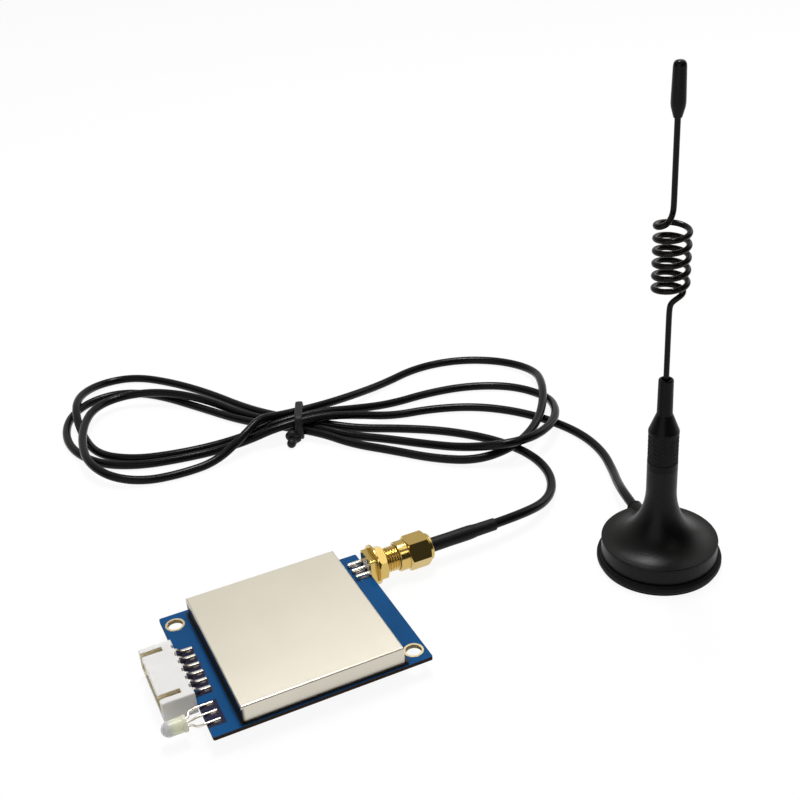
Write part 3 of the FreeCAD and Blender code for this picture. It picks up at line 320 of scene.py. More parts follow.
def only(piece):
    """Selects one piece and makes it the active one."""
    deselect()
    piece.select_set(True)
    bpy.context.view_layer.objects.active = piece


def joined(pieces):
    """Joins pieces into the first of them, which has its place in its mesh."""
    deselect()
    for piece in pieces:
        piece.select_set(True)
    bpy.context.view_layer.objects.active = pieces[0]
    if len(pieces) > 1:
        bpy.ops.object.join()
    bpy.ops.object.transform_apply(location=True, rotation=True, scale=True)
    return bpy.context.object


def repeated(piece, shifts):
    """Copies of a piece, each with its own mesh, moved by the shifts and joined into one."""
    copies = []
    for shift in shifts:
        only(piece)
        bpy.ops.object.duplicate(linked=False)
        bpy.ops.transform.translate(value=shift)
        copies.append(bpy.context.object)
    bpy.data.objects.remove(piece)
    return joined(copies)


def settle(piece, name, material, slot, *nodes, edge=0.0):
    """Finishes a piece drawn in millimetres: breaks its sharp edges, brings it to metres, names it, gives it
    its material, hides the CAD nodes that it stands for and hangs it on the root body."""
    joined([piece])
    piece.name = name
    if edge:
        broken = piece.modifiers.new("broken_edges", "BEVEL")
        broken.width = edge
        broken.segments = 3
        broken.limit_method = "ANGLE"
        broken.angle_limit = math.radians(32)
        bpy.ops.object.modifier_apply(modifier=broken.name)
    bpy.ops.object.shade_smooth_by_angle(angle=math.radians(33))
    even = piece.modifiers.new("even_faces", "WEIGHTED_NORMAL")
    even.keep_sharp = True
    bpy.ops.object.modifier_apply(modifier=even.name)
    piece.scale = (0.001, 0.001, 0.001)
    bpy.ops.object.transform_apply(location=True, rotation=True, scale=True)
    piece.data.materials.clear()
    piece.data.materials.append(material)
    if nodes:
        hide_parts(*nodes)
    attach(piece, "root")


# Immersion gold over nickel: soft gold, its grain too fine to see, drawn 0.2 mm coarse.
flash, tree, shader, place = finish("immersion_gold", "#e4d0a3", 0.30, Metallic=1.0)
pits = grain(tree, shader, place, 0.2, 0.001)
vary(tree, shader.inputs["Base Color"], pits.outputs["Fac"], "#d8c08e", "#efe0b8")

X, Y, Z = Vector((1, 0, 0)), Vector((0, 1, 0)), Vector((0, 0, 1))
HOLES = (Vector((-19.5, 15.53, 0)), Vector((19.5, -15.53, 0)))
ring = turned([(-0.05, 1.56), (-0.05, 2.1), (0.0, 2.15), (0.04, 2.15), (0.04, 1.62), (0.76, 1.62),
               (0.76, 2.0), (0.8, 2.03), (0.85, 1.98), (0.85, 1.6), (0.8, 1.55), (0.0, 1.55),
               (-0.05, 1.56)], BOARD, Z)
rings = repeated(ring, HOLES)
settle(rings, "screw_hole_lands", flash, "gold_plate", "hole_plating")


# Pads and solder.
# Copper pads dipped in tin, and the solder of every joint: it climbs the sides of the tails, pins
# and posts and runs out in a smooth, concave edge.

# Tin solder as it sets: bright, slightly wavy, with a faint grey bloom.
solder, tree, shader, place = finish("bright_solder", "#d6d0c5", 0.35, Metallic=1.0)
skin = grain(tree, shader, place, 0.6, 0.001)
vary(tree, shader.inputs["Roughness"], skin.outputs["Fac"], 0.32, 0.38)
vary(tree, shader.inputs["Base Color"], skin.outputs["Fac"], "#c9c2b6", "#e2ddd3")
# The pads beside the joints: tinned pads painted dark purple-grey, as the shade round the pins and leads.
shaded_pads, tree, shader, place = finish("pads_painted_shade", "#332933", 0.40, IOR=1.5, Specular_IOR_Level=0.2)
pad_mottle = grain(tree, shader, place, 0.5, 0.004)
vary(tree, shader.inputs["Base Color"], pad_mottle.outputs["Fac"], "#221d2c", "#43353a")
dress(shaded_pads, "solder_pads")


def fillet(length, width, height, spot, under):
    """Half of a flattened ball on its pad, or under it, for one joint."""
    deselect()
    bpy.ops.mesh.primitive_uv_sphere_add(segments=20, ring_count=12, radius=1.0, location=spot)
    bpy.ops.transform.resize(value=(length / 2, width / 2, height))
    bpy.ops.object.transform_apply(location=True, rotation=True, scale=True)
    bpy.ops.object.mode_set(mode="EDIT")
    bpy.ops.mesh.select_all(action="SELECT")
    bpy.ops.mesh.bisect(plane_co=spot, plane_no=(0, 0, -1 if under else 1), use_fill=True,
                        clear_inner=True)
    bpy.ops.object.mode_set(mode="OBJECT")
    return bpy.context.object


PIN_ROWS = [2.5 * (number - 2.5) for number in range(6)]
LEAD_ROWS = [-12.8 + 2.45 * side for side in (1, 0, -1)]
POST_ROWS = [-2.3, 2.3]
# Each kind of fillet: its length, width and height, its place on the board, and the rows that have it.
FILLETS = ((1.7, 0.98, 0.34, Vector((-19.25, 0, PAD_TOP)), PIN_ROWS),
           (1.6, 0.84, 0.34, Vector((-19.95, 0, PAD_TOP)), LEAD_ROWS),
           (3.2, 1.34, 0.50, Vector((20.3, 13.0, PAD_TOP)), POST_ROWS),
           (3.2, 1.34, 0.50, Vector((20.3, 13.0, -0.05)), POST_ROWS),
           (3.0, 1.30, 0.42, Vector((20.3, 13.0, PAD_TOP)), [0.0]))
lumps = [repeated(fillet(length, width, height, BOARD + spot, under=spot.z < 0), [Y * row for row in rows])
         for length, width, height, spot, rows in FILLETS]
settle(joined(lumps), "solder_fillets", solder, "tin_solder", "solder_joints")


# Shield can.
# Tin-plated steel sheet, 0.25 mm, stamped and folded down on four sides, with open seams at the
# corners. It snaps over a soldered frame, whose flange shows as a thin line at its foot, painted dark as
# shade.

def block(low, high):
    """A cube at its size and place."""
    deselect()
    bpy.ops.mesh.primitive_cube_add(size=1.0, location=(low + high) / 2, scale=high - low)
    bpy.ops.object.transform_apply(location=True, rotation=True, scale=True)
    return bpy.context.object


def pick(piece, kind, test):
    """Opens a piece in edit mode with only those edges or faces selected that pass the test, which gets
    an edge's middle and direction or a face's middle and normal."""
    only(piece)
    bpy.ops.object.mode_set(mode="EDIT")
    bpy.ops.mesh.select_mode(type=kind)
    bpy.ops.mesh.select_all(action="DESELECT")
    bpy.ops.object.mode_set(mode="OBJECT")
    mesh = piece.data
    if kind == "FACE":
        for face in mesh.polygons:
            face.select = test(face.center, face.normal)
    else:
        for edge in mesh.edges:
            start, end = (mesh.vertices[index].co for index in edge.vertices)
            edge.select = test((start + end) / 2, (end - start).normalized())
    bpy.ops.object.mode_set(mode="EDIT")


def rounded(piece, test, width, segments=4):
    """Rounds the edges of a piece that pass the test."""
    pick(piece, "EDGE", test)
    bpy.ops.mesh.bevel(offset=width, segments=segments, profile=0.5)
    bpy.ops.object.mode_set(mode="OBJECT")


def lengthways(middle, way):
    """Whether an edge runs along X."""
    return abs(way.x) > 0.9


def combined(piece, tool, operation="DIFFERENCE"):
    """Cuts a piece with another, or keeps what both share; the other is used up."""
    only(piece)
    cut = piece.modifiers.new("cut", "BOOLEAN")
    cut.operation = operation
    cut.solver = "EXACT"
    cut.object = tool
    bpy.ops.object.modifier_apply(modifier=cut.name)
    bpy.data.objects.remove(tool)
    return piece


# Electro-tinned steel: a warm satin grey, with wide, barely seen clouds of flow and rolling. The wall
# beside the pins is painted near black: painted shade for the shaded board that it mirrors.
tinplate, tree, shader, place = finish("tinned_steel", "#d5cfc1", 0.36, Metallic=1.0)
grain(tree, shader, place, 16.0, 0.025, detail=0.0)
clouds = add(tree, "ShaderNodeTexNoise", {"Vector": place, "Scale": 95.0, "Detail": 2.0})
flowed = add(tree, "ShaderNodeMix", {0: clouds.outputs["Fac"], 6: linear("#d0cbbc"), 7: linear("#dad3c5")},
             data_type="RGBA")
# Painted shade: the can's left wall, beside the pins, darkened from near its foot almost to its top.
shaded_wall = inside(tree, place, BOARD + Vector((-16.1, 0, 2.1)), (0.1, 20, 1.7), 0.6)
vary(tree, shader.inputs["Base Color"], shaded_wall, flowed.outputs[2], "#2a2728")
fine = add(tree, "ShaderNodeTexNoise", {"Vector": place, "Scale": 1400.0, "Detail": 2.0})
vary(tree, shader.inputs["Roughness"], fine.outputs["Fac"], 0.35, 0.37)
# The frame under the can: the same steel, painted near black as the shade at the can's foot.
shaded_frame, tree, shader, place = finish("frame_painted_shade", "#171415", 0.45, Metallic=0.5)
frame_mottle = grain(tree, shader, place, 0.6, 0.006)
vary(tree, shader.inputs["Base Color"], frame_mottle.outputs["Fac"], "#0c0b0f", "#221c1a")
dress(shaded_frame, "shield_frame")

CAN_LOW, CAN_HIGH = BOARD + Vector((-16.1, -18.3, 1.0)), BOARD + Vector((16.5, 17.7, 4.74))
SHEET_T, SEAM, SEAM_HIGH = 0.25, 0.16, 3.1  # thickness of the sheet, half width and height of its seams
can = block(CAN_LOW, CAN_HIGH)
pick(can, "FACE", lambda middle, normal: normal.z < -0.9)
bpy.ops.mesh.delete(type="FACE")
bpy.ops.object.mode_set(mode="OBJECT")
rounded(can, lambda middle, way: middle.z > CAN_HIGH.z - 0.01, 0.35)
sheet = can.modifiers.new("sheet", "SOLIDIFY")
sheet.thickness = SHEET_T
sheet.offset = -1
bpy.ops.object.modifier_apply(modifier=sheet.name)
for x in (CAN_LOW.x, CAN_HIGH.x):
    for y in (CAN_LOW.y, CAN_HIGH.y):
        foot = Vector((x, y, CAN_LOW.z))
        combined(can, block(foot - Vector((SEAM, SEAM, 1)), foot + Vector((SEAM, SEAM, SEAM_HIGH))))
settle(can, "folded_can", tinplate, "tinned_steel", "shield_can", edge=0.03)


# Parts under the can.
# Moulded epoxy chips, a lidded crystal and fired ceramic parts, placed on the board by machine.
# Nothing of them shows while the can is on.

# Transfer-moulded epoxy: near black, matt, with the fine spark grain of its mould.
epoxy, tree, shader, place = finish("moulded_epoxy", "#17171a", 0.62, IOR=1.55)
grain(tree, shader, place, 0.15, 0.006)
dress(epoxy, "transceiver_chip", "controller_chip", "rf_switch")
# Fired ceramic: tan, eggshell gloss, faintly speckled.
ceramic, tree, shader, place = finish("fired_ceramic", "#a98b6b", 0.45, IOR=1.6)
specks = grain(tree, shader, place, 0.12, 0.003)
vary(tree, shader.inputs["Base Color"], specks.outputs["Fac"], "#97795a", "#b99b7a")
dress(ceramic, "capacitors", "inductors")
# Nickel-plated lid: bright grey with a lapped surface.
nickel, tree, shader, place = finish("nickel_lid", "#c4bfb4", 0.26, Metallic=1.0)
grain(tree, shader, place, 0.2, 0.002)
dress(nickel, "crystal")
# Tinned copper leads and pins: bright, a little drawn along their length, warm where they mirror the room.
tinned, tree, shader, place = finish("tinned_copper", "#e6e0d4", 0.26, Metallic=1.0)
drawn = grain(tree, shader, place, 0.3, 0.0005)
vary(tree, shader.inputs["Roughness"], drawn.outputs["Fac"], 0.26, 0.32)
dress(tinned, "controller_leads")


# Header housing.
# White nylon, moulded: an open mouth away from the board, two keyways in its top wall, and behind
# each pin a small notch in the rear edge, so that the edge looks like a comb.

# Nylon 66: white, slightly waxy, matt on its spark-eroded top; light sinks a little way in. Its hollow
# is painted tan, as the shade round the contacts inside it.
nylon, tree, shader, place = finish("white_nylon", "#cfcece", 0.48, IOR=1.53, Subsurface_Weight=0.4,
                                    Subsurface_Radius=(1.0, 0.95, 0.8), Subsurface_Scale=0.0016)
grain(tree, shader, place, 0.25, 0.006)
tint = add(tree, "ShaderNodeTexNoise", {"Vector": place, "Scale": 160.0, "Detail": 2.0})
outer = add(tree, "ShaderNodeMix", {0: tint.outputs["Fac"], 6: linear("#cccbcb"), 7: linear("#d2d1d0")},
            data_type="RGBA")
# Painted shade: the housing's inside, seen through its mouth and keyways, is tinted tan.
hollow_shade = inside(tree, place, BOARD + Vector((-25.95, 0, 0.75)), (2.45, 7.85, 2.3), 0.06)
vary(tree, shader.inputs["Base Color"], hollow_shade, outer.outputs[2], "#cfc5a6")

HOUSING_LOW, HOUSING_HIGH = BOARD + Vector((-28.5, -8.7, -1.6)), BOARD + Vector((-22.0, 8.7, 3.2))
WALL, BACK_WALL = 0.9, 1.4
KEYWAY_ROW, KEYWAY_HALF, KEYWAY_DEEP, KEYWAY_LENGTH = 6.65, 0.65, 1.9, 4.3
NOTCH_HALF = 0.5
PIN_W = 0.64
PIN_LOW = PAD_TOP + 0.75                    # underside of a pin inside the housing
housing = block(HOUSING_LOW, HOUSING_HIGH)
rounded(housing, lambda middle, way: middle.z > HOUSING_HIGH.z - 0.01, 0.35)
combined(housing, block(HOUSING_LOW + Vector((-1, WALL, WALL)),
                        HOUSING_HIGH - Vector((BACK_WALL, WALL, WALL))))
for side in (-1, 1):
    y = BOARD.y + side * KEYWAY_ROW
    combined(housing, block(Vector((HOUSING_LOW.x - 1, y - KEYWAY_HALF, HOUSING_HIGH.z - KEYWAY_DEEP)),
                            Vector((HOUSING_LOW.x + KEYWAY_LENGTH, y + KEYWAY_HALF, HOUSING_HIGH.z + 1))))
for row in PIN_ROWS:
    y, z = BOARD.y + row, BOARD.z + PIN_LOW
    combined(housing, block(Vector((HOUSING_HIGH.x - 2, y - PIN_W / 2, z)),
                            Vector((HOUSING_HIGH.x + 1, y + PIN_W / 2, z + PIN_W))))
    combined(housing, block(Vector((HOUSING_HIGH.x - 0.5, y - NOTCH_HALF, z)),
                            Vector((HOUSING_HIGH.x + 1, y + NOTCH_HALF, HOUSING_HIGH.z + 1))))
settle(housing, "header_shell", nylon, "white_nylon", "header_housing", edge=0.06)


# Header pins.
# Square tinned copper wire, 0.64 mm. Each pin is pressed through the housing's rear wall, in one of
# its notches, and bent down in a soft S to lie on its pad.

def bar(start, steps, width):
    """A square wire along X, drawn out of a plane step by step."""
    deselect()
    bpy.ops.mesh.primitive_plane_add(size=width, location=start, rotation=(0, math.pi / 2, 0))
    bpy.ops.object.transform_apply(location=True, rotation=True, scale=True)
    bpy.ops.object.mode_set(mode="EDIT")
    bpy.ops.mesh.select_all(action="SELECT")
    for step in steps:
        bpy.ops.mesh.extrude_region_move(TRANSFORM_OT_translate={"value": step})
    bpy.ops.mesh.select_all(action="SELECT")
    bpy.ops.mesh.normals_make_consistent(inside=False)
    bpy.ops.object.mode_set(mode="OBJECT")
    return bpy.context.object


PIN_STEPS = [(5.4, 0, 0), (0.3, 0, 0), (0.25, 0, -0.06), (0.25, 0, -0.16), (0.25, 0, -0.22),
             (0.25, 0, -0.17), (0.25, 0, -0.10), (0.3, 0, -0.04), (1.6, 0, 0), (0.12, 0, 0)]
pin = bar(BOARD + Vector((-27.5, 0, PIN_LOW + PIN_W / 2)), PIN_STEPS, PIN_W)
pins = repeated(pin, [Y * row for row in PIN_ROWS])
settle(pins, "bent_pins", tinned, "tinned_wire", "header_pins", edge=0.08)


# Status lamp.
# A 3 mm light-emitting diode, cast in milky epoxy round its lead frame, lying on its side with its
# dome outwards. Its three tinned leads are spread to the pads by hand, the first in a small hook.
LAMP_RISE = 0.7                             # the lamp's axis above the board's underside
LAMP = BOARD + Vector((-25.2, -12.8, LAMP_RISE))            # middle of the lamp's rear face

# Cast diffusing epoxy: milky grey in the dome and yellower towards its rear, half clear, with a smooth
# moulded gloss.
lens, tree, shader, place = finish("milky_epoxy", "#c4c5bb", 0.26, IOR=1.54, Specular_IOR_Level=0.3,
                                   Transmission_Weight=0.15, Subsurface_Weight=0.85,
                                   Subsurface_Radius=(1.0, 1.0, 0.9), Subsurface_Scale=0.004)
grain(tree, shader, place, 0.4, 0.004)
base_end = inside(tree, place, LAMP + Vector((-0.6, 0, 0)), (1.6, 3, 3), 1.4)
vary(tree, shader.inputs["Base Color"], base_end, "#b4b4b7", "#d3d5be")
dome = [(-4.8 + 1.5 * (1 - math.cos(math.radians(turn))), 1.5 * math.sin(math.radians(turn)))
        for turn in (6, 15, 25, 35, 45, 55, 65, 75, 85, 90)]
body = turned(dome + [(-0.85, 1.5), (-0.75, 1.54), (-0.7, 1.6), (-0.62, 1.64), (-0.1, 1.64), (0.0, 1.56)],
              LAMP, X, sides=48)
settle(body, "lamp_body", lens, "lamp_epoxy", "lamp_lens")


def wire(points, radius, order=3):
    """A round wire along a smooth line through points in millimetres, as a mesh."""
    deselect()
    line = bpy.data.curves.new("wire", "CURVE")
    line.dimensions = "3D"
    line.bevel_depth = radius
    line.bevel_resolution = 5
    line.resolution_u = 8
    line.use_fill_caps = True
    spline = line.splines.new("NURBS")
    spline.points.add(len(points) - 1)
    for point, spot in zip(spline.points, points):
        point.co = (*spot, 1.0)
    spline.order_u = order
    spline.use_endpoint_u = True
    piece = bpy.data.objects.new("wire", line)
    bpy.context.collection.objects.link(piece)
    piece.select_set(True)
    bpy.context.view_layer.objects.active = piece
    bpy.ops.object.convert(target="MESH")
    return bpy.context.object


LEAD_R = 0.26
ON_PAD = PAD_TOP + LEAD_R - LAMP_RISE       # a lead's height on its pad above the lamp's axis
LEAD_LINES = (
    ((-1.6, 1.0, 0), (0.3, 1.0, 0), (0.75, 1.35, 0.1), (0.9, 2.1, 0.25), (1.5, 2.4, 0.35),
     (2.3, 2.45, ON_PAD + 0.05), (3.4, 2.45, ON_PAD), (5.8, 2.45, ON_PAD)),
    ((-1.6, 0, 0), (0.8, 0, 0.05), (2.0, 0, ON_PAD - 0.05), (3.2, 0, ON_PAD), (5.8, 0, ON_PAD)),
    ((-1.6, -1.0, 0), (0.4, -1.0, 0), (0.9, -1.25, 0.05), (1.6, -2.25, 0.12), (2.6, -2.45, ON_PAD),
     (3.6, -2.45, ON_PAD), (5.8, -2.45, ON_PAD)))
leads = [wire([LAMP + Vector(spot) for spot in line], LEAD_R) for line in LEAD_LINES]
settle(joined(leads), "lamp_wires", tinned, "tinned_wire", "lamp_leads")


# Coaxial jack.
# Machined brass, gold plated, in one piece: a square flange with four posts soldered over both faces
# of the board, and a threaded barrel. A white fluoropolymer bead holds the centre contact.
JACK = BOARD + Vector((22.0, 13.0, 1.3))    # the jack's axis at the board's edge

# Gold over nickel on turned brass: warm, mirror-like, with faint turning rings.
gold, tree, shader, place = finish("gold_plated_brass", "#d1b369", 0.17, Metallic=1.0)
turning = grain(tree, shader, place, 0.25, 0.0003)
vary(tree, shader.inputs["Roughness"], turning.outputs["Fac"], 0.13, 0.20)
vary(tree, shader.inputs["Base Color"], turning.outputs["Fac"], "#caaa5c", "#d7bc76")

BEAD_R = 1.7                                # the white bead, and the bore that holds it
flange = block(JACK + Vector((0, -2.8, -2.8)), JACK + Vector((1.5, 2.8, 2.8)))
rounded(flange, lengthways, 0.5)
combined(flange, turned([(-1, BEAD_R), (3, BEAD_R)], JACK, X))
THREAD_TOP, THREAD_ROOT, THREAD_PITCH, THREAD_START, THREAD_RIDGES = 2.75, 2.45, 0.62, 3.95, 13
barrel_line = [(1.4, BEAD_R), (1.4, 2.65), (THREAD_START, 2.65)]
for ridge in range(THREAD_RIDGES):
    start = THREAD_START + ridge * THREAD_PITCH
    barrel_line += [(start + 0.04, THREAD_ROOT), (start + 0.10, THREAD_ROOT),
                    (start + 0.30, THREAD_TOP - 0.02), (start + 0.36, THREAD_TOP),
                    (start + 0.42, THREAD_TOP - 0.02)]
barrel_line += [(12.05, THREAD_ROOT), (12.4, 2.4), (12.4, 2.0), (10.6, 2.0), (10.6, BEAD_R), (1.4, BEAD_R)]
barrel = turned(barrel_line, JACK, X)
POST_HALF = 0.45
posts = []
for y in POST_ROWS:
    for low, high in ((-POST_HALF, POST_HALF), (-2.25, -1.35)):
        post = block(JACK + Vector((-3.3, y - POST_HALF, low)), JACK + Vector((0.3, y + POST_HALF, high)))
        rounded(post, lengthways, 0.3)
        posts.append(post)
settle(joined([flange, barrel]), "jack_barrel", gold, "gold_plate", "jack_body", edge=0.05)
settle(joined(posts), "jack_posts", tinned, "tin_solder", edge=0.04)
# Turned fluoropolymer: dense white with a soft, waxy sheen.
bead, tree, shader, place = finish("fluoropolymer", "#e9e9e6", 0.42, IOR=1.38, Subsurface_Weight=0.15,
                                   Subsurface_Scale=0.0006)
grain(tree, shader, place, 0.2, 0.004)
dress(bead, "jack_insulator", "plug_insulator")
contact = turned([(-3.3, 0.36), (-3.2, 0.45), (-0.02, 0.45), (-0.02, 0.62), (0.02, 0.64), (10.6, 0.64),
                  (10.6, 0.5), (8.4, 0.5), (8.4, 0.1)], JACK, X, sides=32)
settle(contact, "centre_contact", tinned, "gold_plate", "jack_pin")


# Washer and nut of the jack.
# A lock washer with twenty shallow teeth, pressed between flange and nut, and a thin hexagon nut, both
# gold plated. The washer is the widest piece of the jack, and its rim carries this side of the board.

CORNER_R = 3.926                            # from the axis to a corner of a 6.8 mm hexagon
NUT_CHAMFER = 0.36
NUT_BORE_R = 2.78


def hexagon_nut(start, end, upright):
    """A hexagon bar along X, its corners turned off at both ends."""
    deselect()
    spin = 0 if upright else math.radians(30)
    bpy.ops.mesh.primitive_cylinder_add(vertices=6, radius=CORNER_R, depth=end - start,
                                        location=(0, 0, 0), rotation=(0, 0, spin))
    bpy.ops.object.transform_apply(location=True, rotation=True, scale=True)
    nut = bpy.context.object
    nut.rotation_euler = (math.pi / 2, 0, math.pi / 2)
    nut.location = JACK + X * (start + end) / 2
    bpy.ops.object.transform_apply(location=True, rotation=True, scale=True)
    flats = CORNER_R * math.cos(math.radians(30))
    cone = turned([(start, flats - 0.05), (start + NUT_CHAMFER, CORNER_R), (end - NUT_CHAMFER, CORNER_R),
                   (end, flats - 0.05)], JACK, X, sides=96)
    return combined(nut, cone, "INTERSECT")


WASHER_X, WASHER_T, WASHER_R, TOOTH_ROOT, TEETH = 1.52, 0.41, 4.4, 0.982, 20
deselect()
bpy.ops.mesh.primitive_circle_add(vertices=2 * TEETH, radius=WASHER_R, fill_type="NGON",
                                  location=JACK + X * WASHER_X, rotation=(0, math.pi / 2, 0))
bpy.ops.object.transform_apply(location=True, rotation=True, scale=True)
washer = bpy.context.object
for vertex in list(washer.data.vertices)[::2]:
    vertex.co = JACK + X * WASHER_X + (vertex.co - JACK - X * WASHER_X) * TOOTH_ROOT
bpy.ops.object.mode_set(mode="EDIT")
bpy.ops.mesh.select_all(action="SELECT")
bpy.ops.mesh.extrude_region_move(TRANSFORM_OT_translate={"value": (WASHER_T, 0, 0)})
bpy.ops.transform.rotate(value=math.radians(4), orient_axis="X", center_override=JACK)
bpy.ops.mesh.select_all(action="SELECT")
bpy.ops.mesh.normals_make_consistent(inside=False)
bpy.ops.object.mode_set(mode="OBJECT")
combined(washer, turned([(0, NUT_BORE_R), (5, NUT_BORE_R)], JACK, X))
settle(washer, "lock_washer", gold, "gold_plate", "jack_washer", edge=0.05)

nut = combined(hexagon_nut(1.97, 3.94, upright=True), turned([(0, NUT_BORE_R), (9, NUT_BORE_R)], JACK, X))
settle(nut, "panel_nut", gold, "gold_plate", "jack_nut", edge=0.07)


# Screw-on plug.
# Its coupling nut, gold-plated brass: a plain ring, a long hexagon and a turned collar. Inside are
# the plug's body, bead and pin, and the ferrule that is crimped on the cable's braid.
SLEEVE_BORE_R = 2.06
coupling = hexagon_nut(9.2, 14.1, upright=False)
ring = turned([(7.0, 2.82), (7.0, 3.1), (7.1, 3.24), (7.22, 3.3), (9.0, 3.3), (9.1, 3.22), (9.35, 3.22),
               (9.35, 2.82), (7.0, 2.82)], JACK, X, sides=96)
combined(coupling, turned([(8, 2.8), (13.2, 2.8)], JACK, X))
combined(coupling, turned([(13, SLEEVE_BORE_R), (17, SLEEVE_BORE_R)], JACK, X))
collar = turned([(14.0, SLEEVE_BORE_R), (14.0, 3.1), (14.2, 3.1), (14.6, 3.02), (14.85, 2.9), (15.0, 2.7),
                 (15.0, SLEEVE_BORE_R), (14.0, SLEEVE_BORE_R)], JACK, X, sides=96)
settle(joined([coupling, ring, collar]), "coupling_nut", gold, "gold_plate", "plug_coupling_nut", edge=0.07)
dress(gold, "plug_body", "plug_pin")
dress(nickel, "crimp_ferrule")

# Shrunk polyolefin: black, matt, drawn tight over the ferrule so that its step shows.
shrunk, tree, shader, place = finish("shrunk_polyolefin", "#0c0c0e", 0.46, IOR=1.5, Specular_IOR_Level=0.16)
puckers = grain(tree, shader, place, 0.9, 0.02)
vary(tree, shader.inputs["Base Color"], puckers.outputs["Fac"], "#09090b", "#101012")
sleeve = turned([(15.0, 1.4), (15.0, 1.56), (15.1, 1.6), (18.0, 1.6), (20.0, 1.57), (22.5, 1.6), (24.8, 1.6),
                 (25.4, 1.56), (25.9, 1.5), (26.5, 1.44), (28.5, 1.42), (31.05, 1.40), (31.25, 1.34),
                 (31.25, 1.15), (25.0, 1.15), (25.0, 1.4), (15.0, 1.4)], JACK, X, sides=48)
settle(sleeve, "plug_sleeve", shrunk, "sleeve_black", "heat_shrink_sleeve")


# Cable tie.
# A soft black rubber tie wound once round the six strands where the hank crosses itself, and knotted
# at the near side, where its blunt end lies on the table.
TIE = Vector((1.2, 84.4, 0))

# Soft moulded rubber: dark, almost without gloss, a little dusty.
rubber, tree, shader, place = finish("soft_rubber", "#0e0e0f", 0.48, IOR=1.52, Specular_IOR_Level=0.18,
                                     Sheen_Weight=0.05, Sheen_Roughness=0.5)
dust = grain(tree, shader, place, 0.5, 0.02)
vary(tree, shader.inputs["Base Color"], dust.outputs["Fac"], "#0a0a0b", "#131315")
band = block(TIE + Vector((-1.0, -5.6, 0.02)), TIE + Vector((1.0, 5.9, 7.15)))
rounded(band, lengthways, 2.5, segments=7)
passage = block(TIE + Vector((-3.0, -4.5, 1.12)), TIE + Vector((3.0, 4.8, 6.05)))
rounded(passage, lengthways, 1.4, segments=7)
combined(band, passage)
rounding = band.modifiers.new("rounding", "BEVEL")
rounding.width = 0.45
rounding.segments = 4
rounding.angle_limit = math.radians(50)
bpy.ops.object.modifier_apply(modifier=rounding.name)
STUB_R, KNOT_R = 1.2, 0.95
STUB = ((-0.4, -4.9, 1.4), (-1.2, -5.4, 1.25), (-1.9, -6.3, 1.2), (-2.15, -7.0, 1.2), (-2.2, -7.6, 1.2))
stub = wire([TIE + Vector(spot) for spot in STUB], STUB_R)
KNOT = ((-0.5, -5.0, 1.7), (-1.4, -5.7, 2.9), (-2.6, -5.7, 2.9), (-3.0, -5.4, 2.0), (-2.2, -5.2, 1.3))
knot = wire([TIE + Vector(spot) for spot in KNOT], KNOT_R)
deselect()
bpy.ops.mesh.primitive_uv_sphere_add(segments=24, ring_count=16, radius=STUB_R,
                                     location=TIE + Vector(STUB[-1]))
end = bpy.context.object
tie = joined([band, stub, end, knot])
across = Matrix.Rotation(math.radians(-22), 4, "Z")
tie.matrix_world = Matrix.Translation(TIE) @ across @ Matrix.Translation(-TIE)
settle(tie, "rubber_tie", rubber, "tie_rubber", "cable_tie")


# Antenna foot.
# A flared shell of satin black ABS, moulded, with a steel disc in its foot that a ring magnet grips.
# The disc wears a rough rubber coat, wider than the shell.
ANTENNA = Vector((48.45, -8.45, 0))

# Injection-moulded ABS with a fine spark grain, 0.3 mm, that breaks highlights into soft specks.
abs_plastic, tree, shader, place = finish("satin_abs", "#040404", 0.34, IOR=1.54, Specular_IOR_Level=0.14)
specks = grain(tree, shader, place, 0.3, 0.04)
vary(tree, shader.inputs["Roughness"], specks.outputs["Fac"], 0.29, 0.40)
NECK_TOP, NECK_R = 23.7, 3.15
FLARE_TOP, FLARE_TALL, FLARE_WIDE, RIM_R = 18.2, 12.1, 8.9, 12.05       # a quarter of an ellipse
flare = [(FLARE_TOP - FLARE_TALL * math.sin(math.radians(turn)),
          RIM_R - FLARE_WIDE * math.cos(math.radians(turn))) for turn in range(4, 91, 5)]
shell_line = ([(NECK_TOP, 2.0), (NECK_TOP, 3.12), (23.67, NECK_R), (FLARE_TOP, NECK_R)] + flare
              + [(6.08, 12.12), (6.0, 12.18), (5.9, 12.2), (5.82, 12.1), (5.7, 12.02), (5.55, 12.02),
                 (5.4, 12.08), (3.0, 12.2), (2.5, 12.2), (2.4, 12.1), (2.4, 11.0)])
shell = turned(shell_line, ANTENNA, Z, sides=128)
settle(shell, "flared_shell", abs_plastic, "base_plastic", "antenna_base_shell")
BOSS_TURN = math.radians(78)                # the way that the cable leaves, from X
boss = turned([(9.5, 1.75), (12.8, 1.75), (12.95, 1.6), (12.95, 1.46), (9.5, 1.46), (9.5, 1.75)],
              ANTENNA + Z * 5.0, Vector((math.cos(BOSS_TURN), math.sin(BOSS_TURN), 0)), sides=48)
settle(boss, "cable_boss", abs_plastic, "base_plastic")

# Rubber coat, matt and coarse, with the grit of its mould at 0.5 mm.
coat, tree, shader, place = finish("rough_rubber", "#0c0c0c", 0.55, IOR=1.52, Specular_IOR_Level=0.08)
grit = grain(tree, shader, place, 0.5, 0.05)
vary(tree, shader.inputs["Base Color"], grit.outputs["Fac"], "#070707", "#111111")
disc = turned([(0.5, 11.0), (0.5, 12.6), (0.6, 12.85), (0.8, 13.02), (1.1, 13.1), (1.75, 13.1),
               (2.05, 13.02), (2.25, 12.85), (2.38, 12.6), (2.4, 12.2), (2.4, 11.0), (3.2, 10.9)],
              ANTENNA, Z, sides=128)
settle(disc, "foot_disc", coat, "foot_steel", "base_plate")
dress(coat, "foot_pad", "cable_grommet")
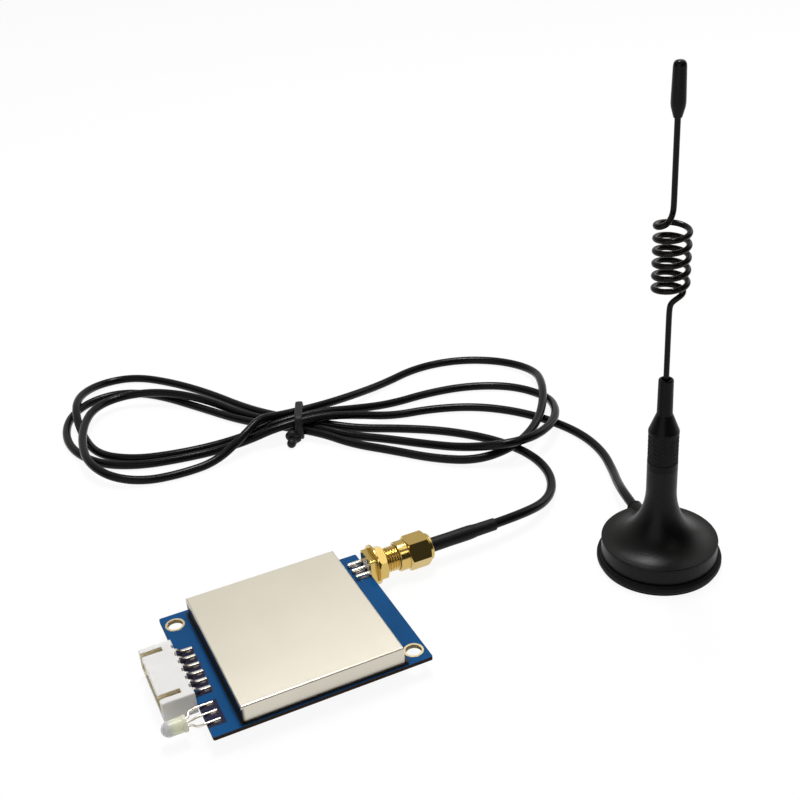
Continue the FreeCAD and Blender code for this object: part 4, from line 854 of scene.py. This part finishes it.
# Sintered ferrite: dark grey, faintly metallic, ground flat.
ferrite, tree, shader, place = finish("sintered_ferrite", "#37373a", 0.5, Metallic=0.4)
grain(tree, shader, place, 0.3, 0.01)
dress(ferrite, "base_magnet")
dress(nickel, "whip_stud")
# Enamelled copper wire: brown, glossy.
enamel, tree, shader, place = finish("enamelled_copper", "#a5532a", 0.25, Metallic=0.7)
grain(tree, shader, place, 0.3, 0.004)
dress(enamel, "feed_wire")


# Whip holder.
# Turned brass under black lacquer: a knurled grip screwed on the foot's stud, a short cone and a
# slim stem that takes the wire.

# Baked black lacquer on metal: a deep satin that shows the turned surface under it.
lacquer, tree, shader, place = finish("black_lacquer", "#060606", 0.34, IOR=1.5, Specular_IOR_Level=0.11)
grain(tree, shader, place, 0.3, 0.004)

# The knurl: its ends, its radius and depth, its ridges round the grip, and its climb in radians a mm.
KNURL_LOW, KNURL_HIGH, KNURL_R, KNURL_DEEP, KNURL_RIDGES, KNURL_CLIMB = 25.2, 31.7, 3.15, 0.2, 30, 6.3
KNURL_ROWS, KNURL_EDGE = 32, 0.08
grip_line = [(NECK_TOP, 1.56), (NECK_TOP, 3.1), (23.74, KNURL_R), (KNURL_LOW - KNURL_EDGE, KNURL_R)]
grip_line += [(KNURL_LOW + (KNURL_HIGH - KNURL_LOW) * row / KNURL_ROWS, KNURL_R)
              for row in range(KNURL_ROWS + 1)]
grip_line += [(KNURL_HIGH + KNURL_EDGE, KNURL_R), (32.3, KNURL_R), (32.45, 3.1), (36.1, 1.68), (36.3, 1.6),
              (43.7, 1.52), (43.9, 1.44), (44.0, 1.3), (44.0, 1.0), (43.9, 0.93), (42.4, 0.93), (42.4, 0.6),
              (30.0, 0.6), (27.0, 1.56), (NECK_TOP, 1.56)]
grip = turned(grip_line, ANTENNA, Z, sides=160)
for vertex in grip.data.vertices:
    from_axis = vertex.co - ANTENNA
    height, radius = from_axis.z, math.hypot(from_axis.x, from_axis.y)
    if KNURL_LOW - 0.01 < height < KNURL_HIGH + 0.01 and radius > KNURL_R - KNURL_DEEP:
        turn, climb = math.atan2(from_axis.y, from_axis.x) * KNURL_RIDGES, (height - KNURL_LOW) * KNURL_CLIMB
        dent = KNURL_DEEP * (1 - abs(math.sin((turn + climb) / 2) * math.sin((turn - climb) / 2)))
        vertex.co.x -= from_axis.x / radius * dent
        vertex.co.y -= from_axis.y / radius * dent
settle(grip, "knurled_holder", lacquer, "black_lacquer", "whip_holder")


# Whip.
# One length of spring-steel wire, 1.16 mm, wound cold into five and a half open turns near its
# middle and lacquered black. Its lower end is soldered into the holder's stem.

# Glossy lacquer on drawn wire: nearly black, brown where it is thin.
gloss, tree, shader, place = finish("glossy_wire_lacquer", "#0c0806", 0.17, IOR=1.5, Specular_IOR_Level=0.13)
thin = grain(tree, shader, place, 0.6, 0.006)
vary(tree, shader.inputs["Base Color"], thin.outputs["Fac"], "#070504", "#100a08")
COIL_R, COIL_TOP, COIL_PITCH, COIL_TURNS = 3.15, 76.364, 2.52, 5.5
COIL_LEAD, COIL_BEND = 0.17, 1.6            # turns that lead in and out, and the height of their bends
TURN_POINTS = 16
DRAW_IN = (2 + math.cos(2 * math.pi / TURN_POINTS)) / 3     # the smooth line runs inside its points by this


def coil_spot(turns):
    """A point of the coil's line, so many turns from its top. Before the first turn and after the last
    the line bends in to the axis."""
    before, after = max(0.0, -turns) / COIL_LEAD, max(0.0, turns - COIL_TURNS) / COIL_LEAD
    radius = COIL_R / DRAW_IN * (1 - before ** 2 - after ** 2)
    height = COIL_TOP - COIL_PITCH * turns + COIL_BEND * (before ** 2 - after ** 2)
    turn = math.pi - 2 * math.pi * turns
    return ANTENNA + Vector((radius * math.cos(turn), radius * math.sin(turn), height))


winding = [coil_spot(step / TURN_POINTS) for step in range(int(COIL_TURNS * TURN_POINTS) + 1)]
whip_line = ([ANTENNA + Z * 103.8, ANTENNA + Z * 90, ANTENNA + Z * 80.5, coil_spot(-COIL_LEAD),
              coil_spot(-COIL_LEAD / 2)] + winding
             + [coil_spot(COIL_TURNS + COIL_LEAD / 2), coil_spot(COIL_TURNS + COIL_LEAD), ANTENNA + Z * 58.5,
                ANTENNA + Z * 45, ANTENNA + Z * 30])
settle(wire(whip_line, 0.58, order=4), "coiled_whip", gloss, "black_lacquer", "whip_wire")


# Tip cap.
# A sheath of soft black vinyl, dipped on a pin and pushed over the wire's end: it widens in a short
# cone and closes in a flat dome.

# Dipped vinyl: smooth and satin, with the slow waves of a coat that set as it hung.
vinyl_cap, tree, shader, place = finish("dipped_vinyl", "#090709", 0.28, IOR=1.52, Specular_IOR_Level=0.12)
grain(tree, shader, place, 0.8, 0.012)
cap = turned([(96.2, 0.62), (96.2, 0.72), (96.3, 0.8), (97.2, 1.05), (98.1, 1.3), (98.8, 1.38),
              (100.0, 1.37), (105.2, 1.23), (105.7, 1.16), (106.05, 0.98), (106.24, 0.7), (106.3, 0.4)],
             ANTENNA, Z, sides=48)
settle(cap, "vinyl_cap", vinyl_cap, "cap_vinyl", "whip_tip_cap")
